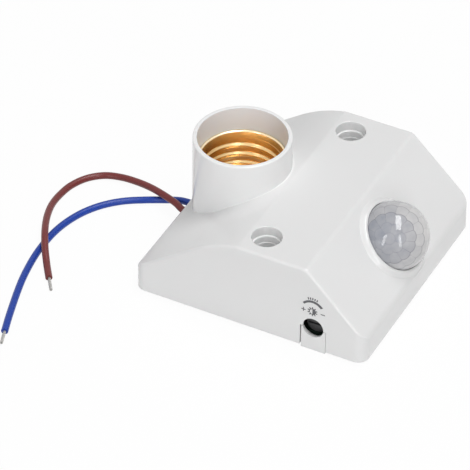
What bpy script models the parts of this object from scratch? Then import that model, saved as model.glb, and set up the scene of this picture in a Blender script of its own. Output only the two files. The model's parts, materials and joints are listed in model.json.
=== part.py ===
"""Lamp holder with a motion sensor, built piece by piece at its real size.

The origin is the middle of the mounting face, the flat underside of the base plate.
+X runs from the lamp socket to the sensor dome, +Z away from the mounting face, and the
light-level adjuster is in the -Y wall. Lengths are in metres.
"""

import math

import bmesh
import bpy
from mathutils import Matrix, Vector

MM = 0.001
DEGREE = math.pi / 180

# Fits and facets
SEAT_GAP = 0.3 * MM
LARGE_SIDES = 44
SMALL_SIDES = 20
TINY_SIDES = 12
ARC_STEP = 12 * DEGREE
ARC_EDGE_SHARE = 0.98
CUT_MARGIN = 3 * MM
MERGE_DISTANCE = 0.002 * MM

# Housing shell
MOUNT_SPACING = 60 * MM
MOUNT_EDGE_ROOM = 9.75 * MM
BODY_LENGTH = 82 * MM
BODY_HEIGHT = 31.15 * MM
RIM_STEP = 0.7 * MM
WALL = 2 * MM
SIDE_DRAFT = 1.3 * DEGREE
PLATEAU_LENGTH = 24.4 * MM
FRONT_SLOPE_RUN = 20.9 * MM
FRONT_LIP_HEIGHT = 10.15 * MM
BACK_LIP_HEIGHT = 9.06 * MM
SHOULDER_RUN = 9.33 * MM
SHOULDER_ANGLE = 13.5 * DEGREE
SHOULDER_RADIUS = 44 * MM
SHOULDER_CREASE_RADIUS = 4 * MM
FRONT_RIDGE_RADIUS = 2.5 * MM
FRONT_LIP_RADIUS = 4 * MM
BACK_LIP_RADIUS = 3 * MM
PLAN_CORNER_RADIUS = 3.8 * MM
RIDGE_RADIUS = 1 * MM

# Lamp socket
COLLAR_BORE_RADIUS = 14.7 * MM
COLLAR_WALL = 1.37 * MM
COLLAR_DRAFT = 0.6 * DEGREE
COLLAR_TOP = 41.45 * MM
COLLAR_BOTTOM = 6.5 * MM
COLLAR_RIM_RADIUS = 0.5 * MM
COLLAR_BACK_ROOM = 2.3 * MM
SEAT_RING_WIDTH = 2.8 * MM
SEAT_RING_THICKNESS = 1.5 * MM
INSERT_LUG_RADIUS = 3.4 * MM
INSERT_SCREW_OFFSET = 10.4 * MM
INSERT_THICKNESS = 2.7 * MM
INSERT_BOSS_RADIUS = 5.5 * MM
INSERT_BOSS_HEIGHT = 1 * MM
SHELL_RIM_DEPTH = 9.2 * MM
SHELL_ROOT_RADIUS = 13.4 * MM
SHELL_THREAD_DEPTH = 0.9 * MM
SHELL_THREAD_PITCH = 3.63 * MM
SHELL_THREAD_STEPS = 3
SHELL_THREAD_SIDES = 28
SHELL_METAL = 0.4 * MM
SHELL_PLAIN_END = 1.8 * MM
SHELL_FLARE_HEIGHT = 0.6 * MM
SHELL_FLOOR_BEND = 1.1 * MM
SHELL_FLOOR_HOLE = 6.3 * MM
SHELL_RIVET_OFFSET = 9.4 * MM
CONTACT_WIDTH = 5 * MM
CONTACT_METAL = 0.4 * MM
CONTACT_RISE = 3.6 * MM
CONTACT_REACH = 3.8 * MM
RIVET_SHANK_RADIUS = 1 * MM
RIVET_HEAD_RADIUS = 1.9 * MM
RIVET_HEAD_HEIGHT = 0.6 * MM

# Base plate
BASE_THICKNESS = 2 * MM
BASE_CORNER_RADIUS = 2 * MM
STANDOFF_HEIGHT = 1.35 * MM
STANDOFF_RADIUS = 2 * MM
TONGUE_WIDTH = 8.5 * MM
TONGUE_SHOULDER_DROP = 0.55 * MM
TONGUE_SHIFT = 0.08 * MM

# Wall-mounting posts, one on each side
MOUNT_FROM_SHOULDER = 6.1 * MM
COUNTERBORE_RADIUS = 4.93 * MM
COUNTERBORE_DEPTH = 3.5 * MM
SECOND_BORE_RADIUS = 4.4 * MM
SECOND_BORE_DEPTH = 5.7 * MM
DEEP_BORE_RADIUS = 3.9 * MM
POST_WALL = 1.25 * MM
POST_FLOOR = 2 * MM
MOUNT_HOLE_RADIUS = 2.25 * MM

# Screws
BASE_SCREW_INSET = 6.7 * MM
BASE_BOSS_RADIUS = 3.2 * MM
BASE_SCREW_RADIUS = 1.25 * MM
BASE_SCREW_LENGTH = 7.5 * MM
BASE_SCREW_HEAD_RADIUS = 2.3 * MM
BASE_SCREW_HEAD_HEIGHT = 0.85 * MM
BASE_SCREW_SINK = 0.15 * MM
SMALL_SCREW_RADIUS = 0.95 * MM
SMALL_SCREW_HEAD = (1.9 * MM, 1.2 * MM)
SMALL_SCREW_BITE = 2.2 * MM
RECESS_WIDTH = 0.6 * MM
RECESS_SHARE = 0.6
RECESS_FLOOR_SHARE = 0.45

# Sensor dome and what sits behind it
DOME_RADIUS = 11.4 * MM
DOME_WALL = 0.7 * MM
DOME_CENTRE_RISE = 1.1 * MM
DOME_DOWN_SLOPE = 1.2 * MM
DOME_FLANGE_WIDTH = 1 * MM
DOME_FLANGE_THICKNESS = 0.8 * MM
DOME_RING_HEIGHT = 1.8 * MM
DOME_RING_WIDTH = 1.5 * MM
DOME_RING_FOOT = 1.1 * MM
RETAINER_LENGTH = 4.5 * MM
RETAINER_WALL = 1.5 * MM
RETAINER_EAR_OFFSET = 15.6 * MM
RETAINER_EAR_RADIUS = 2.7 * MM
RETAINER_EAR_THICKNESS = 1.5 * MM
SENSOR_BOARD_LENGTH = 20 * MM
SENSOR_BOARD_EDGE = 2.8 * MM
SENSOR_BOARD_CORNER = 1 * MM
SENSOR_BOARD_THICKNESS = 1.2 * MM
SENSOR_CAN_RADIUS = 4.2 * MM
SENSOR_CAN_FLANGE = 0.5 * MM
SENSOR_CAN_FLANGE_THICKNESS = 0.6 * MM
SENSOR_CAN_HEIGHT = 4.3 * MM
SENSOR_WINDOW = (4 * MM, 3 * MM)
SENSOR_WINDOW_DEPTH = 0.7 * MM
LIGHT_CELL_RADIUS = 2 * MM
LIGHT_CELL_HEIGHT = 2 * MM
LINK_PIN_RADIUS = 0.35 * MM
LINK_PIN_PITCH = 2.54 * MM
LINK_PIN_COUNT = 3
LINK_PIN_DOWN_BOARD = 7 * MM

# Main circuit board, its left edge beside the collar
BOARD_THICKNESS = 1.6 * MM
BOARD_TO_COLLAR = 2.2 * MM
BOARD_FRONT_ROOM = 6 * MM
BOARD_POST_ROOM = 1.3 * MM
BOARD_WING_START = 8.1 * MM
BOARD_WING_LENGTH = 15 * MM
BOARD_WALL_ROOM = 0.8 * MM
PAD_INSET = 2.3 * MM
PAD_STRIP = 4.8 * MM
LEAD_PAD_OFFSET = 9.5 * MM
HOOKUP_PAD_OFFSET = 3.5 * MM
PART_GAP = 1.2 * MM
RELAY_SIZE = (15.2 * MM, 18.5 * MM, 15 * MM)
FILM_CAPACITOR_SIZE = (6 * MM, 13 * MM, 11 * MM)
SMOOTHING_CAPACITOR_RADIUS = 4 * MM
SMOOTHING_CAPACITOR_HEIGHT = 12 * MM
CHIP_SIZE = (10.3 * MM, 7.5 * MM, 2.4 * MM)
FUSE_RESISTOR_RADIUS = 1.5 * MM
FUSE_RESISTOR_LENGTH = 9 * MM
DIODE_RADIUS = 1.25 * MM
DIODE_LENGTH = 5 * MM
DIODE_PITCH = 3 * MM
DIODE_COUNT = 4

# Light-level trimmer behind the adjuster hole
ADJUSTER_FROM_FRONT = 18 * MM
ADJUSTER_HOLE_RADIUS = 3.6 * MM
TRIMMER_SIZE = 6.8 * MM
TRIMMER_DEPTH = 4.2 * MM
TRIMMER_WALL_ROOM = 0.4 * MM
ROTOR_RADIUS = 2.9 * MM
ROTOR_THICKNESS = 1.3 * MM
ROTOR_SPIGOT_RADIUS = 1 * MM
ROTOR_SPIGOT_LENGTH = 1.6 * MM
ROTOR_SLOT_WIDTH = 0.8 * MM
ROTOR_SLOT_DEPTH = 0.7 * MM

# Leads and hook-up wires
LEAD_DIAMETER = 2.35 * MM
LEAD_EXIT_HEIGHT = 4.5 * MM
LEAD_EXIT_SPREAD = 2.05 * MM
LEAD_SLOT_ROOM = 0.35 * MM
LEAD_POINT_SPACING = 5.5 * MM
WIRE_POINT_SPACING = 2.6 * MM
HOOKUP_POINT_SPACING = 1.6 * MM
END_STUB = 0.4 * MM
BARE_TIP_LENGTH = 6 * MM
BARE_TIP_RADIUS = 0.55 * MM
HOOKUP_DIAMETER = 1.6 * MM

# Route of each free lead in millimetres, from its exit to the end of its insulation
LIVE_LEAD_ROUTE = [
    (-46.8, -0.6, 5.0), (-52.7, 1.5, 4.9), (-58.3, 3.7, 4.0), (-64.2, 5.4, 2.9),
    (-70.5, 6.2, 1.9), (-76.4, 5.1, 1.3), (-81.0, 1.2, 1.2), (-83.8, -4.4, 1.2),
    (-84.7, -10.4, 1.4), (-84.1, -16.4, 2.1), (-82.4, -22.4, 3.0), (-80.0, -28.2, 3.8),
    (-77.2, -33.7, 4.1), (-74.2, -38.8, 3.1), (-70.8, -43.8, 1.6), (-67.2, -48.8, 1.2),
]
NEUTRAL_LEAD_ROUTE = [
    (-47.1, 2.5, 3.6), (-53.3, 1.9, 1.9), (-59.2, -0.3, 1.2), (-64.9, -4.0, 1.2),
    (-69.7, -8.8, 1.2), (-73.2, -14.3, 1.2), (-75.5, -20.3, 1.2), (-76.8, -26.7, 1.2),
    (-77.1, -33.3, 1.2), (-76.8, -39.8, 1.2), (-75.9, -46.3, 1.2), (-74.6, -52.8, 1.2),
    (-72.9, -59.2, 1.2), (-71.0, -65.5, 1.2), (-69.0, -71.8, 1.2), (-66.9, -77.9, 1.2),
]

# Places worked out from the sizes above
FRONT_X = BODY_LENGTH / 2
BACK_X = -BODY_LENGTH / 2
HALF_WIDTH = MOUNT_SPACING / 2 + MOUNT_EDGE_ROOM
RIDGE_X = FRONT_X - FRONT_SLOPE_RUN
SHOULDER_X = RIDGE_X - PLATEAU_LENGTH
MOUNT_X = SHOULDER_X + MOUNT_FROM_SHOULDER
MOUNT_Y = MOUNT_SPACING / 2
POST_RADIUS = COUNTERBORE_RADIUS + POST_WALL
POST_BOTTOM = BASE_THICKNESS + SEAT_GAP
POST_SEAT = POST_BOTTOM + POST_FLOOR

COLLAR_RADIUS = COLLAR_BORE_RADIUS + COLLAR_WALL
COLLAR_FOOT_RADIUS = COLLAR_RADIUS + math.tan(COLLAR_DRAFT) * (COLLAR_TOP - COLLAR_BOTTOM)
SOCKET_X = BACK_X + COLLAR_FOOT_RADIUS + COLLAR_BACK_ROOM
INSERT_BOTTOM = COLLAR_BOTTOM + SEAT_RING_THICKNESS + SEAT_GAP
INSERT_TOP = INSERT_BOTTOM + INSERT_THICKNESS
INSERT_RADIUS = COLLAR_BORE_RADIUS - SEAT_GAP
SHELL_BOTTOM = INSERT_TOP + SEAT_GAP
SHELL_TOP = COLLAR_TOP - SHELL_RIM_DEPTH
BOSS_TOP = SHELL_BOTTOM + INSERT_BOSS_HEIGHT
CONTACT_BOTTOM = BOSS_TOP + SEAT_GAP
SEAT_HOLE_RADIUS = COLLAR_BORE_RADIUS - SEAT_RING_WIDTH

BOARD_BOTTOM = BASE_THICKNESS + STANDOFF_HEIGHT + SEAT_GAP
BOARD_TOP = BOARD_BOTTOM + BOARD_THICKNESS
PART_SEAT = BOARD_TOP + SEAT_GAP
BOARD_LEFT = SOCKET_X + COLLAR_FOOT_RADIUS + BOARD_TO_COLLAR
BOARD_RIGHT = FRONT_X - WALL - BOARD_FRONT_ROOM
BOARD_HALF_WIDTH = MOUNT_Y - POST_RADIUS - BOARD_POST_ROOM
INNER_HALF_WIDTH = HALF_WIDTH - WALL - math.tan(SIDE_DRAFT) * BOARD_TOP

ADJUSTER_X = FRONT_X - ADJUSTER_FROM_FRONT
WING_LEFT = ADJUSTER_X - BOARD_WING_START
WING_RIGHT = WING_LEFT + BOARD_WING_LENGTH
ADJUSTER_Z = PART_SEAT + TRIMMER_SIZE / 2
WALL_INNER_Y = -(HALF_WIDTH - WALL - math.tan(SIDE_DRAFT) * ADJUSTER_Z)
ROTOR_FACE_Y = WALL_INNER_Y + TRIMMER_WALL_ROOM

SLOPE_DROP = BODY_HEIGHT - FRONT_LIP_HEIGHT
SLOPE_LENGTH = math.hypot(FRONT_SLOPE_RUN, SLOPE_DROP)
SLOPE_TILT = math.atan2(SLOPE_DROP, FRONT_SLOPE_RUN)
DOME_SHARE = (SLOPE_LENGTH / 2 + DOME_DOWN_SLOPE) / SLOPE_LENGTH
DOME_X = RIDGE_X + FRONT_SLOPE_RUN * DOME_SHARE
DOME_Z = BODY_HEIGHT - SLOPE_DROP * DOME_SHARE
DOME_HOLE_RADIUS = DOME_RADIUS + SEAT_GAP
FLANGE_TOP = -WALL - SEAT_GAP
FLANGE_BOTTOM = FLANGE_TOP - DOME_FLANGE_THICKNESS
RETAINER_TOP = FLANGE_BOTTOM - SEAT_GAP
RETAINER_BOTTOM = RETAINER_TOP - RETAINER_LENGTH
RETAINER_RADIUS = DOME_RADIUS + DOME_FLANGE_WIDTH
EAR_TOP = RETAINER_BOTTOM + RETAINER_EAR_THICKNESS
SENSOR_BOARD_TOP = RETAINER_BOTTOM - SEAT_GAP
SENSOR_BOARD_BOTTOM = SENSOR_BOARD_TOP - SENSOR_BOARD_THICKNESS

LEAD_RADIUS = LEAD_DIAMETER / 2


def clear_scene():
    """Removes every object, so that the model starts from nothing."""
    for old in list(bpy.data.objects):
        bpy.data.objects.remove(old)


def finish(name, colour, roughness, metallic=0.0, alpha=1.0):
    """A Principled material with one colour, as its piece shows it."""
    material = bpy.data.materials.new(name)
    material.use_nodes = True
    shader = material.node_tree.nodes["Principled BSDF"]
    shader.inputs["Base Color"].default_value = (*colour, 1.0)
    shader.inputs["Roughness"].default_value = roughness
    shader.inputs["Metallic"].default_value = metallic
    shader.inputs["Alpha"].default_value = alpha
    material.diffuse_color = (*colour, alpha)
    return material


def solid(name, shape):
    """An object made from a closed bmesh, with its faces pointing out."""
    bmesh.ops.recalc_face_normals(shape, faces=shape.faces)
    mesh = bpy.data.meshes.new(name)
    shape.to_mesh(mesh)
    shape.free()
    made = bpy.data.objects.new(name, mesh)
    bpy.context.scene.collection.objects.link(made)
    return made


def dress(piece, material, parent=None, smooth=35 * DEGREE):
    """Gives a finished piece its material, smooth round faces and the empty that carries it."""
    piece.data.materials.clear()
    piece.data.materials.append(material)
    if piece.type == "MESH":
        piece.data.shade_smooth()
        piece.data.set_sharp_from_angle(angle=smooth)
    if parent is not None:
        piece.parent = parent
    return piece


def axis_empty(name, matrix):
    """An empty whose frame carries the pieces built around one axis."""
    empty = bpy.data.objects.new(name, None)
    bpy.context.scene.collection.objects.link(empty)
    empty.matrix_world = matrix
    return empty


def rounded_outline(corners):
    """Points of a closed outline, with an arc at each corner (x, y, radius)."""
    points = []
    for index, (x, y, radius) in enumerate(fitting_arcs(corners)):
        corner = Vector((x, y))
        back = (Vector(corners[index - 1][:2]) - corner).normalized()
        ahead = (Vector(corners[(index + 1) % len(corners)][:2]) - corner).normalized()
        turn = math.pi - back.angle(ahead)
        if radius <= 0:
            points.append((x, y))
            continue
        start = corner + back * radius * math.tan(turn / 2)
        centre = corner + (back + ahead).normalized() * radius / math.cos(turn / 2)
        first = start - centre
        last = corner + ahead * radius * math.tan(turn / 2) - centre
        sweep = math.atan2(first.cross(last), first.dot(last))
        steps = max(2, math.ceil(turn / ARC_STEP))
        for step in range(steps + 1):
            angle = math.atan2(first.y, first.x) + sweep * step / steps
            points.append((centre.x + radius * math.cos(angle), centre.y + radius * math.sin(angle)))
    return points


def fitting_arcs(corners):
    """The same corners, with arcs limited to the straight edges that they share."""
    places = [Vector((x, y)) for x, y, radius in corners]
    reaches = []
    for index, corner in enumerate(places):
        back = places[index - 1] - corner
        ahead = places[(index + 1) % len(places)] - corner
        reaches.append(corners[index][2] * math.tan((math.pi - back.angle(ahead)) / 2))
    shares = [1.0] * len(places)
    for index, corner in enumerate(places):
        wanted = reaches[index - 1] + reaches[index]
        room = (corner - places[index - 1]).length * ARC_EDGE_SHARE
        if wanted > room:
            shares[index - 1] = min(shares[index - 1], room / wanted)
            shares[index] = min(shares[index], room / wanted)
    return [(x, y, radius * share) for (x, y, radius), share in zip(corners, shares)]


def inset_corners(corners, inset):
    """The corners of a counter-clockwise outline, moved inwards by a wall's thickness."""
    moved = []
    for index, (x, y, radius) in enumerate(corners):
        corner = Vector((x, y))
        came = (corner - Vector(corners[index - 1][:2])).normalized()
        goes = (Vector(corners[(index + 1) % len(corners)][:2]) - corner).normalized()
        came_in = Vector((-came.y, came.x))
        goes_in = Vector((-goes.y, goes.x))
        shift = (came_in + goes_in) * inset / (1 + came_in.dot(goes_in))
        moved.append((x + shift.x, y + shift.y, max(radius - inset, 0)))
    return moved


def circle(radius, sides, x=0.0, y=0.0):
    """Points of a circle."""
    turns = [2 * math.pi * side / sides for side in range(sides)]
    return [(x + radius * math.cos(turn), y + radius * math.sin(turn)) for turn in turns]


def rectangle(left, right, low, high, radius=0.0):
    """Points of a rectangle with rounded corners."""
    corners = [(left, low, radius), (right, low, radius), (right, high, radius), (left, high, radius)]
    return rounded_outline(corners)


def prism(name, outline, low, high, along="Z"):
    """An outline drawn out along X, Y or Z between two levels."""
    place = {
        "X": lambda u, v, level: (level, u, v),
        "Y": lambda u, v, level: (u, level, v),
        "Z": lambda u, v, level: (u, v, level),
    }[along]
    shape = bmesh.new()
    rings = [[shape.verts.new(place(u, v, level)) for u, v in outline] for level in (low, high)]
    shape.faces.new(rings[0])
    shape.faces.new(rings[1])
    for index in range(len(outline)):
        last = index - 1
        shape.faces.new((rings[0][last], rings[0][index], rings[1][index], rings[1][last]))
    return solid(name, shape)


def turned(name, profile, sides, centre=(0.0, 0.0)):
    """A closed loop of (radius, height) points turned about an upright axis.

    The profile is a list, or a function that gives the list at an angle, as a thread needs.
    """
    shape = bmesh.new()
    angles = [2 * math.pi * side / sides for side in range(sides)]
    profiles = [profile(angle) if callable(profile) else profile for angle in angles]
    columns = []
    for point in range(len(profiles[0])):
        if profiles[0][point][0] == 0:
            height = profiles[0][point][1]
            columns.append([shape.verts.new((centre[0], centre[1], height))])
            continue
        ring = []
        for angle, loop in zip(angles, profiles):
            radius, height = loop[point]
            x = centre[0] + radius * math.cos(angle)
            y = centre[1] + radius * math.sin(angle)
            ring.append(shape.verts.new((x, y, height)))
        columns.append(ring)
    for point, ring in enumerate(columns):
        last = columns[point - 1]
        for side in range(sides):
            corners = [last[side % len(last)], last[(side + 1) % len(last)]]
            corners += [ring[(side + 1) % len(ring)], ring[side % len(ring)]]
            corners = list(dict.fromkeys(corners))
            if len(corners) > 2:
                shape.faces.new(corners)
    return solid(name, shape)


def cylinder(name, radius, low, high, sides=SMALL_SIDES, centre=(0.0, 0.0)):
    """A plain upright cylinder."""
    return prism(name, circle(radius, sides, *centre), low, high)


def block(name, size, centre, low):
    """A box that stands at a level, over a centre in plan."""
    length, width, height = size
    outline = rectangle(
        centre[0] - length / 2, centre[0] + length / 2, centre[1] - width / 2, centre[1] + width / 2
    )
    return prism(name, outline, low, low + height)


def lying(name, radius, length, centre, sides=SMALL_SIDES):
    """A round bar that lies along Y."""
    outline = circle(radius, sides, centre[0], centre[2])
    return prism(name, outline, centre[1] - length / 2, centre[1] + length / 2, along="Y")


def joined(name, solids):
    """Separate solids as one object, to be cut or added in one step."""
    shape = bmesh.new()
    for one in solids:
        shape.from_mesh(one.data)
        bpy.data.objects.remove(one)
    return solid(name, shape)


def combine(target, operation, tool):
    """Adds a tool to the target, cuts it away or keeps what both share, and removes the tool."""
    modifier = target.modifiers.new("shape", "BOOLEAN")
    modifier.operation = operation
    modifier.solver = "EXACT"
    modifier.object = tool
    bpy.context.view_layer.update()
    shaped = target.evaluated_get(bpy.context.evaluated_depsgraph_get())
    mesh = bpy.data.meshes.new_from_object(shaped)
    target.modifiers.remove(modifier)
    target.data = tidied(mesh)
    bpy.data.objects.remove(tool)
    return target


def tidied(mesh):
    """Merges the coinciding points that a Boolean leaves, and drops faces with no area."""
    shape = bmesh.new()
    shape.from_mesh(mesh)
    bmesh.ops.remove_doubles(shape, verts=shape.verts, dist=MERGE_DISTANCE)
    bmesh.ops.dissolve_degenerate(shape, edges=shape.edges, dist=MERGE_DISTANCE)
    shape.to_mesh(mesh)
    shape.free()
    return mesh


def in_frame(piece, matrix):
    """Moves a tool's own points into a frame."""
    piece.data.transform(matrix)
    return piece


def smooth_route(route, spacing, lowest):
    """Evenly spaced points on a smooth curve through a route's own points, with square ends."""
    knots = [Vector(point) for point in route]
    knots = [knots[0] * 2 - knots[1], *knots, knots[-1] * 2 - knots[-2]]
    dense = []
    fine_steps = 24
    for index in range(1, len(knots) - 2):
        before, start, end, after = knots[index - 1 : index + 3]
        for step in range(fine_steps):
            t = step / fine_steps
            straight = start * 2 + (end - before) * t
            bend = (before * 2 - start * 5 + end * 4 - after) * t**2
            twist = (start * 3 - before - end * 3 + after) * t**3
            dense.append((straight + bend + twist) / 2)
    dense.append(knots[-2])
    lengths = [0.0]
    for last, point in zip(dense, dense[1:]):
        lengths.append(lengths[-1] + (point - last).length)
    count = max(2, round(lengths[-1] / spacing))
    points = []
    place = 0
    for step in range(count + 1):
        wanted = lengths[-1] * step / count
        while place < len(dense) - 2 and lengths[place + 1] < wanted:
            place += 1
        share = (wanted - lengths[place]) / (lengths[place + 1] - lengths[place])
        point = dense[place].lerp(dense[place + 1], share)
        points.append(Vector((point.x, point.y, max(point.z, lowest))))
    points.insert(1, points[0] + (knots[2] - knots[1]).normalized() * END_STUB)
    points.insert(-1, points[-1] + (knots[-3] - knots[-2]).normalized() * END_STUB)
    return points


def wire(name, points, diameter, material):
    """A round wire along points, with closed ends."""
    line = bpy.data.curves.new(name, "CURVE")
    line.dimensions = "3D"
    line.bevel_depth = diameter / 2
    line.bevel_resolution = 2
    line.use_fill_caps = True
    spline = line.splines.new("POLY")
    spline.points.add(len(points) - 1)
    for target, point in zip(spline.points, points):
        target.co = (*point, 1.0)
    made = bpy.data.objects.new(name, line)
    bpy.context.scene.collection.objects.link(made)
    return dress(made, material)


def body_corners():
    """The housing's side profile as counter-clockwise corners (x, z, radius)."""
    bend_height = BODY_HEIGHT - math.tan(SHOULDER_ANGLE) * SHOULDER_RUN
    return [
        (BACK_X, RIM_STEP, 0),
        (FRONT_X, RIM_STEP, 0),
        (FRONT_X, FRONT_LIP_HEIGHT, FRONT_LIP_RADIUS),
        (RIDGE_X, BODY_HEIGHT, FRONT_RIDGE_RADIUS),
        (SHOULDER_X, BODY_HEIGHT, SHOULDER_CREASE_RADIUS),
        (SHOULDER_X - SHOULDER_RUN, bend_height, SHOULDER_RADIUS),
        (BACK_X, BACK_LIP_HEIGHT, BACK_LIP_RADIUS),
    ]


def profile_block(name, inset, floor):
    """The side profile, moved inwards by a wall and drawn out across the whole width."""
    corners = inset_corners(body_corners(), inset)
    corners[0] = (corners[0][0], floor, 0)
    corners[1] = (corners[1][0], floor, 0)
    reach = HALF_WIDTH + CUT_MARGIN
    return prism(name, rounded_outline(corners), -reach, reach, along="Y")


def plan_block(name, inset, low, high):
    """The plan outline with its rounded corners and the side walls' draft."""
    half_length = FRONT_X - inset
    radius = max(PLAN_CORNER_RADIUS - inset, 0)
    outline = rectangle(-half_length, half_length, inset - HALF_WIDTH, HALF_WIDTH - inset, radius)
    return drafted(prism(name, outline, low, high))


def drafted(block_piece):
    """Leans the +Y and -Y faces of a block inwards by the side walls' draft."""
    for vertex in block_piece.data.vertices:
        side = math.copysign(1, vertex.co.y)
        vertex.co.y -= side * math.tan(SIDE_DRAFT) * vertex.co.z
    return block_piece


def outer_body(name):
    """The housing's outside as a solid block, with its upper edges rounded."""
    body = profile_block(name, 0, RIM_STEP)
    combine(body, "INTERSECT", plan_block("plan", 0, -CUT_MARGIN, BODY_HEIGHT + CUT_MARGIN))
    shape = bmesh.new()
    shape.from_mesh(body.data)
    sharp = 40 * DEGREE
    edges = []
    for edge in shape.edges:
        above_rim = min(vertex.co.z for vertex in edge.verts) > RIM_STEP + SEAT_GAP
        if above_rim and edge.calc_face_angle(0) > sharp:
            edges.append(edge)
    bmesh.ops.bevel(
        shape, geom=edges, offset=RIDGE_RADIUS, segments=2, profile=0.5, affect="EDGES", clamp_overlap=True
    )
    shape.to_mesh(body.data)
    shape.free()
    return body


def sensor_matrix():
    """The frame of the front slope: +Z out of the slope, +X up it, origin under the dome."""
    across = Matrix.Rotation(math.pi, 4, "Z")
    tilt = Matrix.Rotation(SLOPE_TILT, 4, "Y")
    return Matrix.Translation((DOME_X, 0, DOME_Z)) @ tilt @ across


def base_screw_places():
    """Plan places of the four base screws."""
    x = FRONT_X - BASE_SCREW_INSET
    y = HALF_WIDTH - BASE_SCREW_INSET
    return [(-x, -y), (x, -y), (x, y), (-x, y)]


def ear_places():
    """Places of the two sensor screws in the slope's frame."""
    return [(0.0, -RETAINER_EAR_OFFSET), (0.0, RETAINER_EAR_OFFSET)]


def insert_screw_places():
    """Plan places of the two screws that hold the socket insert."""
    return [(SOCKET_X, -INSERT_SCREW_OFFSET), (SOCKET_X, INSERT_SCREW_OFFSET)]


def build_housing(material):
    """The moulded cover: sloped shell, socket collar, posts, bosses and dome ring in one piece."""
    housing = outer_body("housing")
    combine(housing, "UNION", turned("collar", collar_profile(), LARGE_SIDES, (SOCKET_X, 0.0)))
    combine(housing, "UNION", in_frame(turned("ring", dome_ring_profile(), LARGE_SIDES), sensor_matrix()))
    combine(housing, "DIFFERENCE", housing_core())
    combine(housing, "DIFFERENCE", socket_bore())
    combine(housing, "DIFFERENCE", mount_bores())
    combine(housing, "DIFFERENCE", screw_pilots())
    low = -WALL - SEAT_GAP
    high = DOME_RING_HEIGHT + CUT_MARGIN
    dome_hole = cylinder("dome_hole", DOME_HOLE_RADIUS, low, high, LARGE_SIDES)
    combine(housing, "DIFFERENCE", in_frame(dome_hole, sensor_matrix()))
    combine(housing, "DIFFERENCE", lead_slot())
    slot_width = TONGUE_WIDTH + 2 * SEAT_GAP
    combine(housing, "DIFFERENCE", adjuster_opening("slot", tongue_outline(slot_width, SEAT_GAP)))
    combine(housing, "DIFFERENCE", adjuster_opening("hole", adjuster_circle()))
    return dress(housing, material)


def collar_profile():
    """The outside of the socket's collar, with its rounded rim."""
    rim = COLLAR_RIM_RADIUS
    return [
        (0, COLLAR_BOTTOM),
        (COLLAR_FOOT_RADIUS, COLLAR_BOTTOM),
        (COLLAR_RADIUS, COLLAR_TOP - rim),
        (COLLAR_RADIUS - rim * 0.3, COLLAR_TOP - rim * 0.3),
        (COLLAR_RADIUS - rim, COLLAR_TOP),
        (0, COLLAR_TOP),
    ]


def dome_ring_profile():
    """The soft raised ring around the dome, from inside the wall to its top."""
    outer = DOME_HOLE_RADIUS + DOME_RING_WIDTH
    buried = -WALL / 4
    return [
        (0, buried),
        (outer + DOME_RING_FOOT, buried),
        (outer + DOME_RING_FOOT * 0.35, DOME_RING_HEIGHT * 0.18),
        (outer, DOME_RING_HEIGHT * 0.5),
        (outer - DOME_RING_WIDTH * 0.2, DOME_RING_HEIGHT * 0.85),
        (outer - DOME_RING_WIDTH * 0.6, DOME_RING_HEIGHT),
        (0, DOME_RING_HEIGHT),
    ]


def housing_core():
    """The space inside the housing, without the posts, bosses and collar that stand in it."""
    core = profile_block("core", WALL, -CUT_MARGIN)
    combine(core, "INTERSECT", plan_block("core_plan", WALL, -2 * CUT_MARGIN, BODY_HEIGHT))
    high = BODY_HEIGHT + CUT_MARGIN
    left = []
    for side in (-1, 1):
        place = (MOUNT_X, side * MOUNT_Y)
        left.append(cylinder("post", POST_RADIUS, POST_BOTTOM, high, SMALL_SIDES, place))
    for place in base_screw_places():
        left.append(cylinder("boss", BASE_BOSS_RADIUS, POST_BOTTOM, high, TINY_SIDES, place))
    for place in ear_places():
        boss = cylinder("ear_boss", RETAINER_EAR_RADIUS, EAR_TOP + SEAT_GAP, 0, TINY_SIDES, place)
        left.append(in_frame(boss, sensor_matrix()))
    left.append(turned("collar", collar_profile(), LARGE_SIDES, (SOCKET_X, 0.0)))
    return combine(core, "DIFFERENCE", joined("left_standing", left))


def socket_bore():
    """The collar's bore down to its seat ring, without the two lugs for the insert's screws."""
    seat_top = COLLAR_BOTTOM + SEAT_RING_THICKNESS
    high = COLLAR_TOP + CUT_MARGIN
    steps = [
        (0, COLLAR_BOTTOM - CUT_MARGIN),
        (SEAT_HOLE_RADIUS, COLLAR_BOTTOM - CUT_MARGIN),
        (SEAT_HOLE_RADIUS, seat_top),
        (COLLAR_BORE_RADIUS, seat_top),
        (COLLAR_BORE_RADIUS, COLLAR_TOP - COLLAR_RIM_RADIUS),
        (COLLAR_BORE_RADIUS + COLLAR_RIM_RADIUS * 0.4, COLLAR_TOP),
        (COLLAR_BORE_RADIUS + COLLAR_RIM_RADIUS * 0.4, high),
        (0, high),
    ]
    bore = turned("bore", steps, LARGE_SIDES, (SOCKET_X, 0.0))
    lugs = []
    for place in insert_screw_places():
        low = COLLAR_BOTTOM - 2 * CUT_MARGIN
        lugs.append(cylinder("lug", INSERT_LUG_RADIUS, low, seat_top, SMALL_SIDES, place))
    combine(bore, "DIFFERENCE", joined("lugs", lugs))
    holes = []
    for place in insert_screw_places():
        low = COLLAR_BOTTOM - CUT_MARGIN / 2
        high = seat_top + SEAT_GAP
        holes.append(cylinder("lug_hole", SMALL_SCREW_RADIUS + SEAT_GAP, low, high, TINY_SIDES, place))
    return combine(bore, "UNION", joined("lug_holes", holes))


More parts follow.
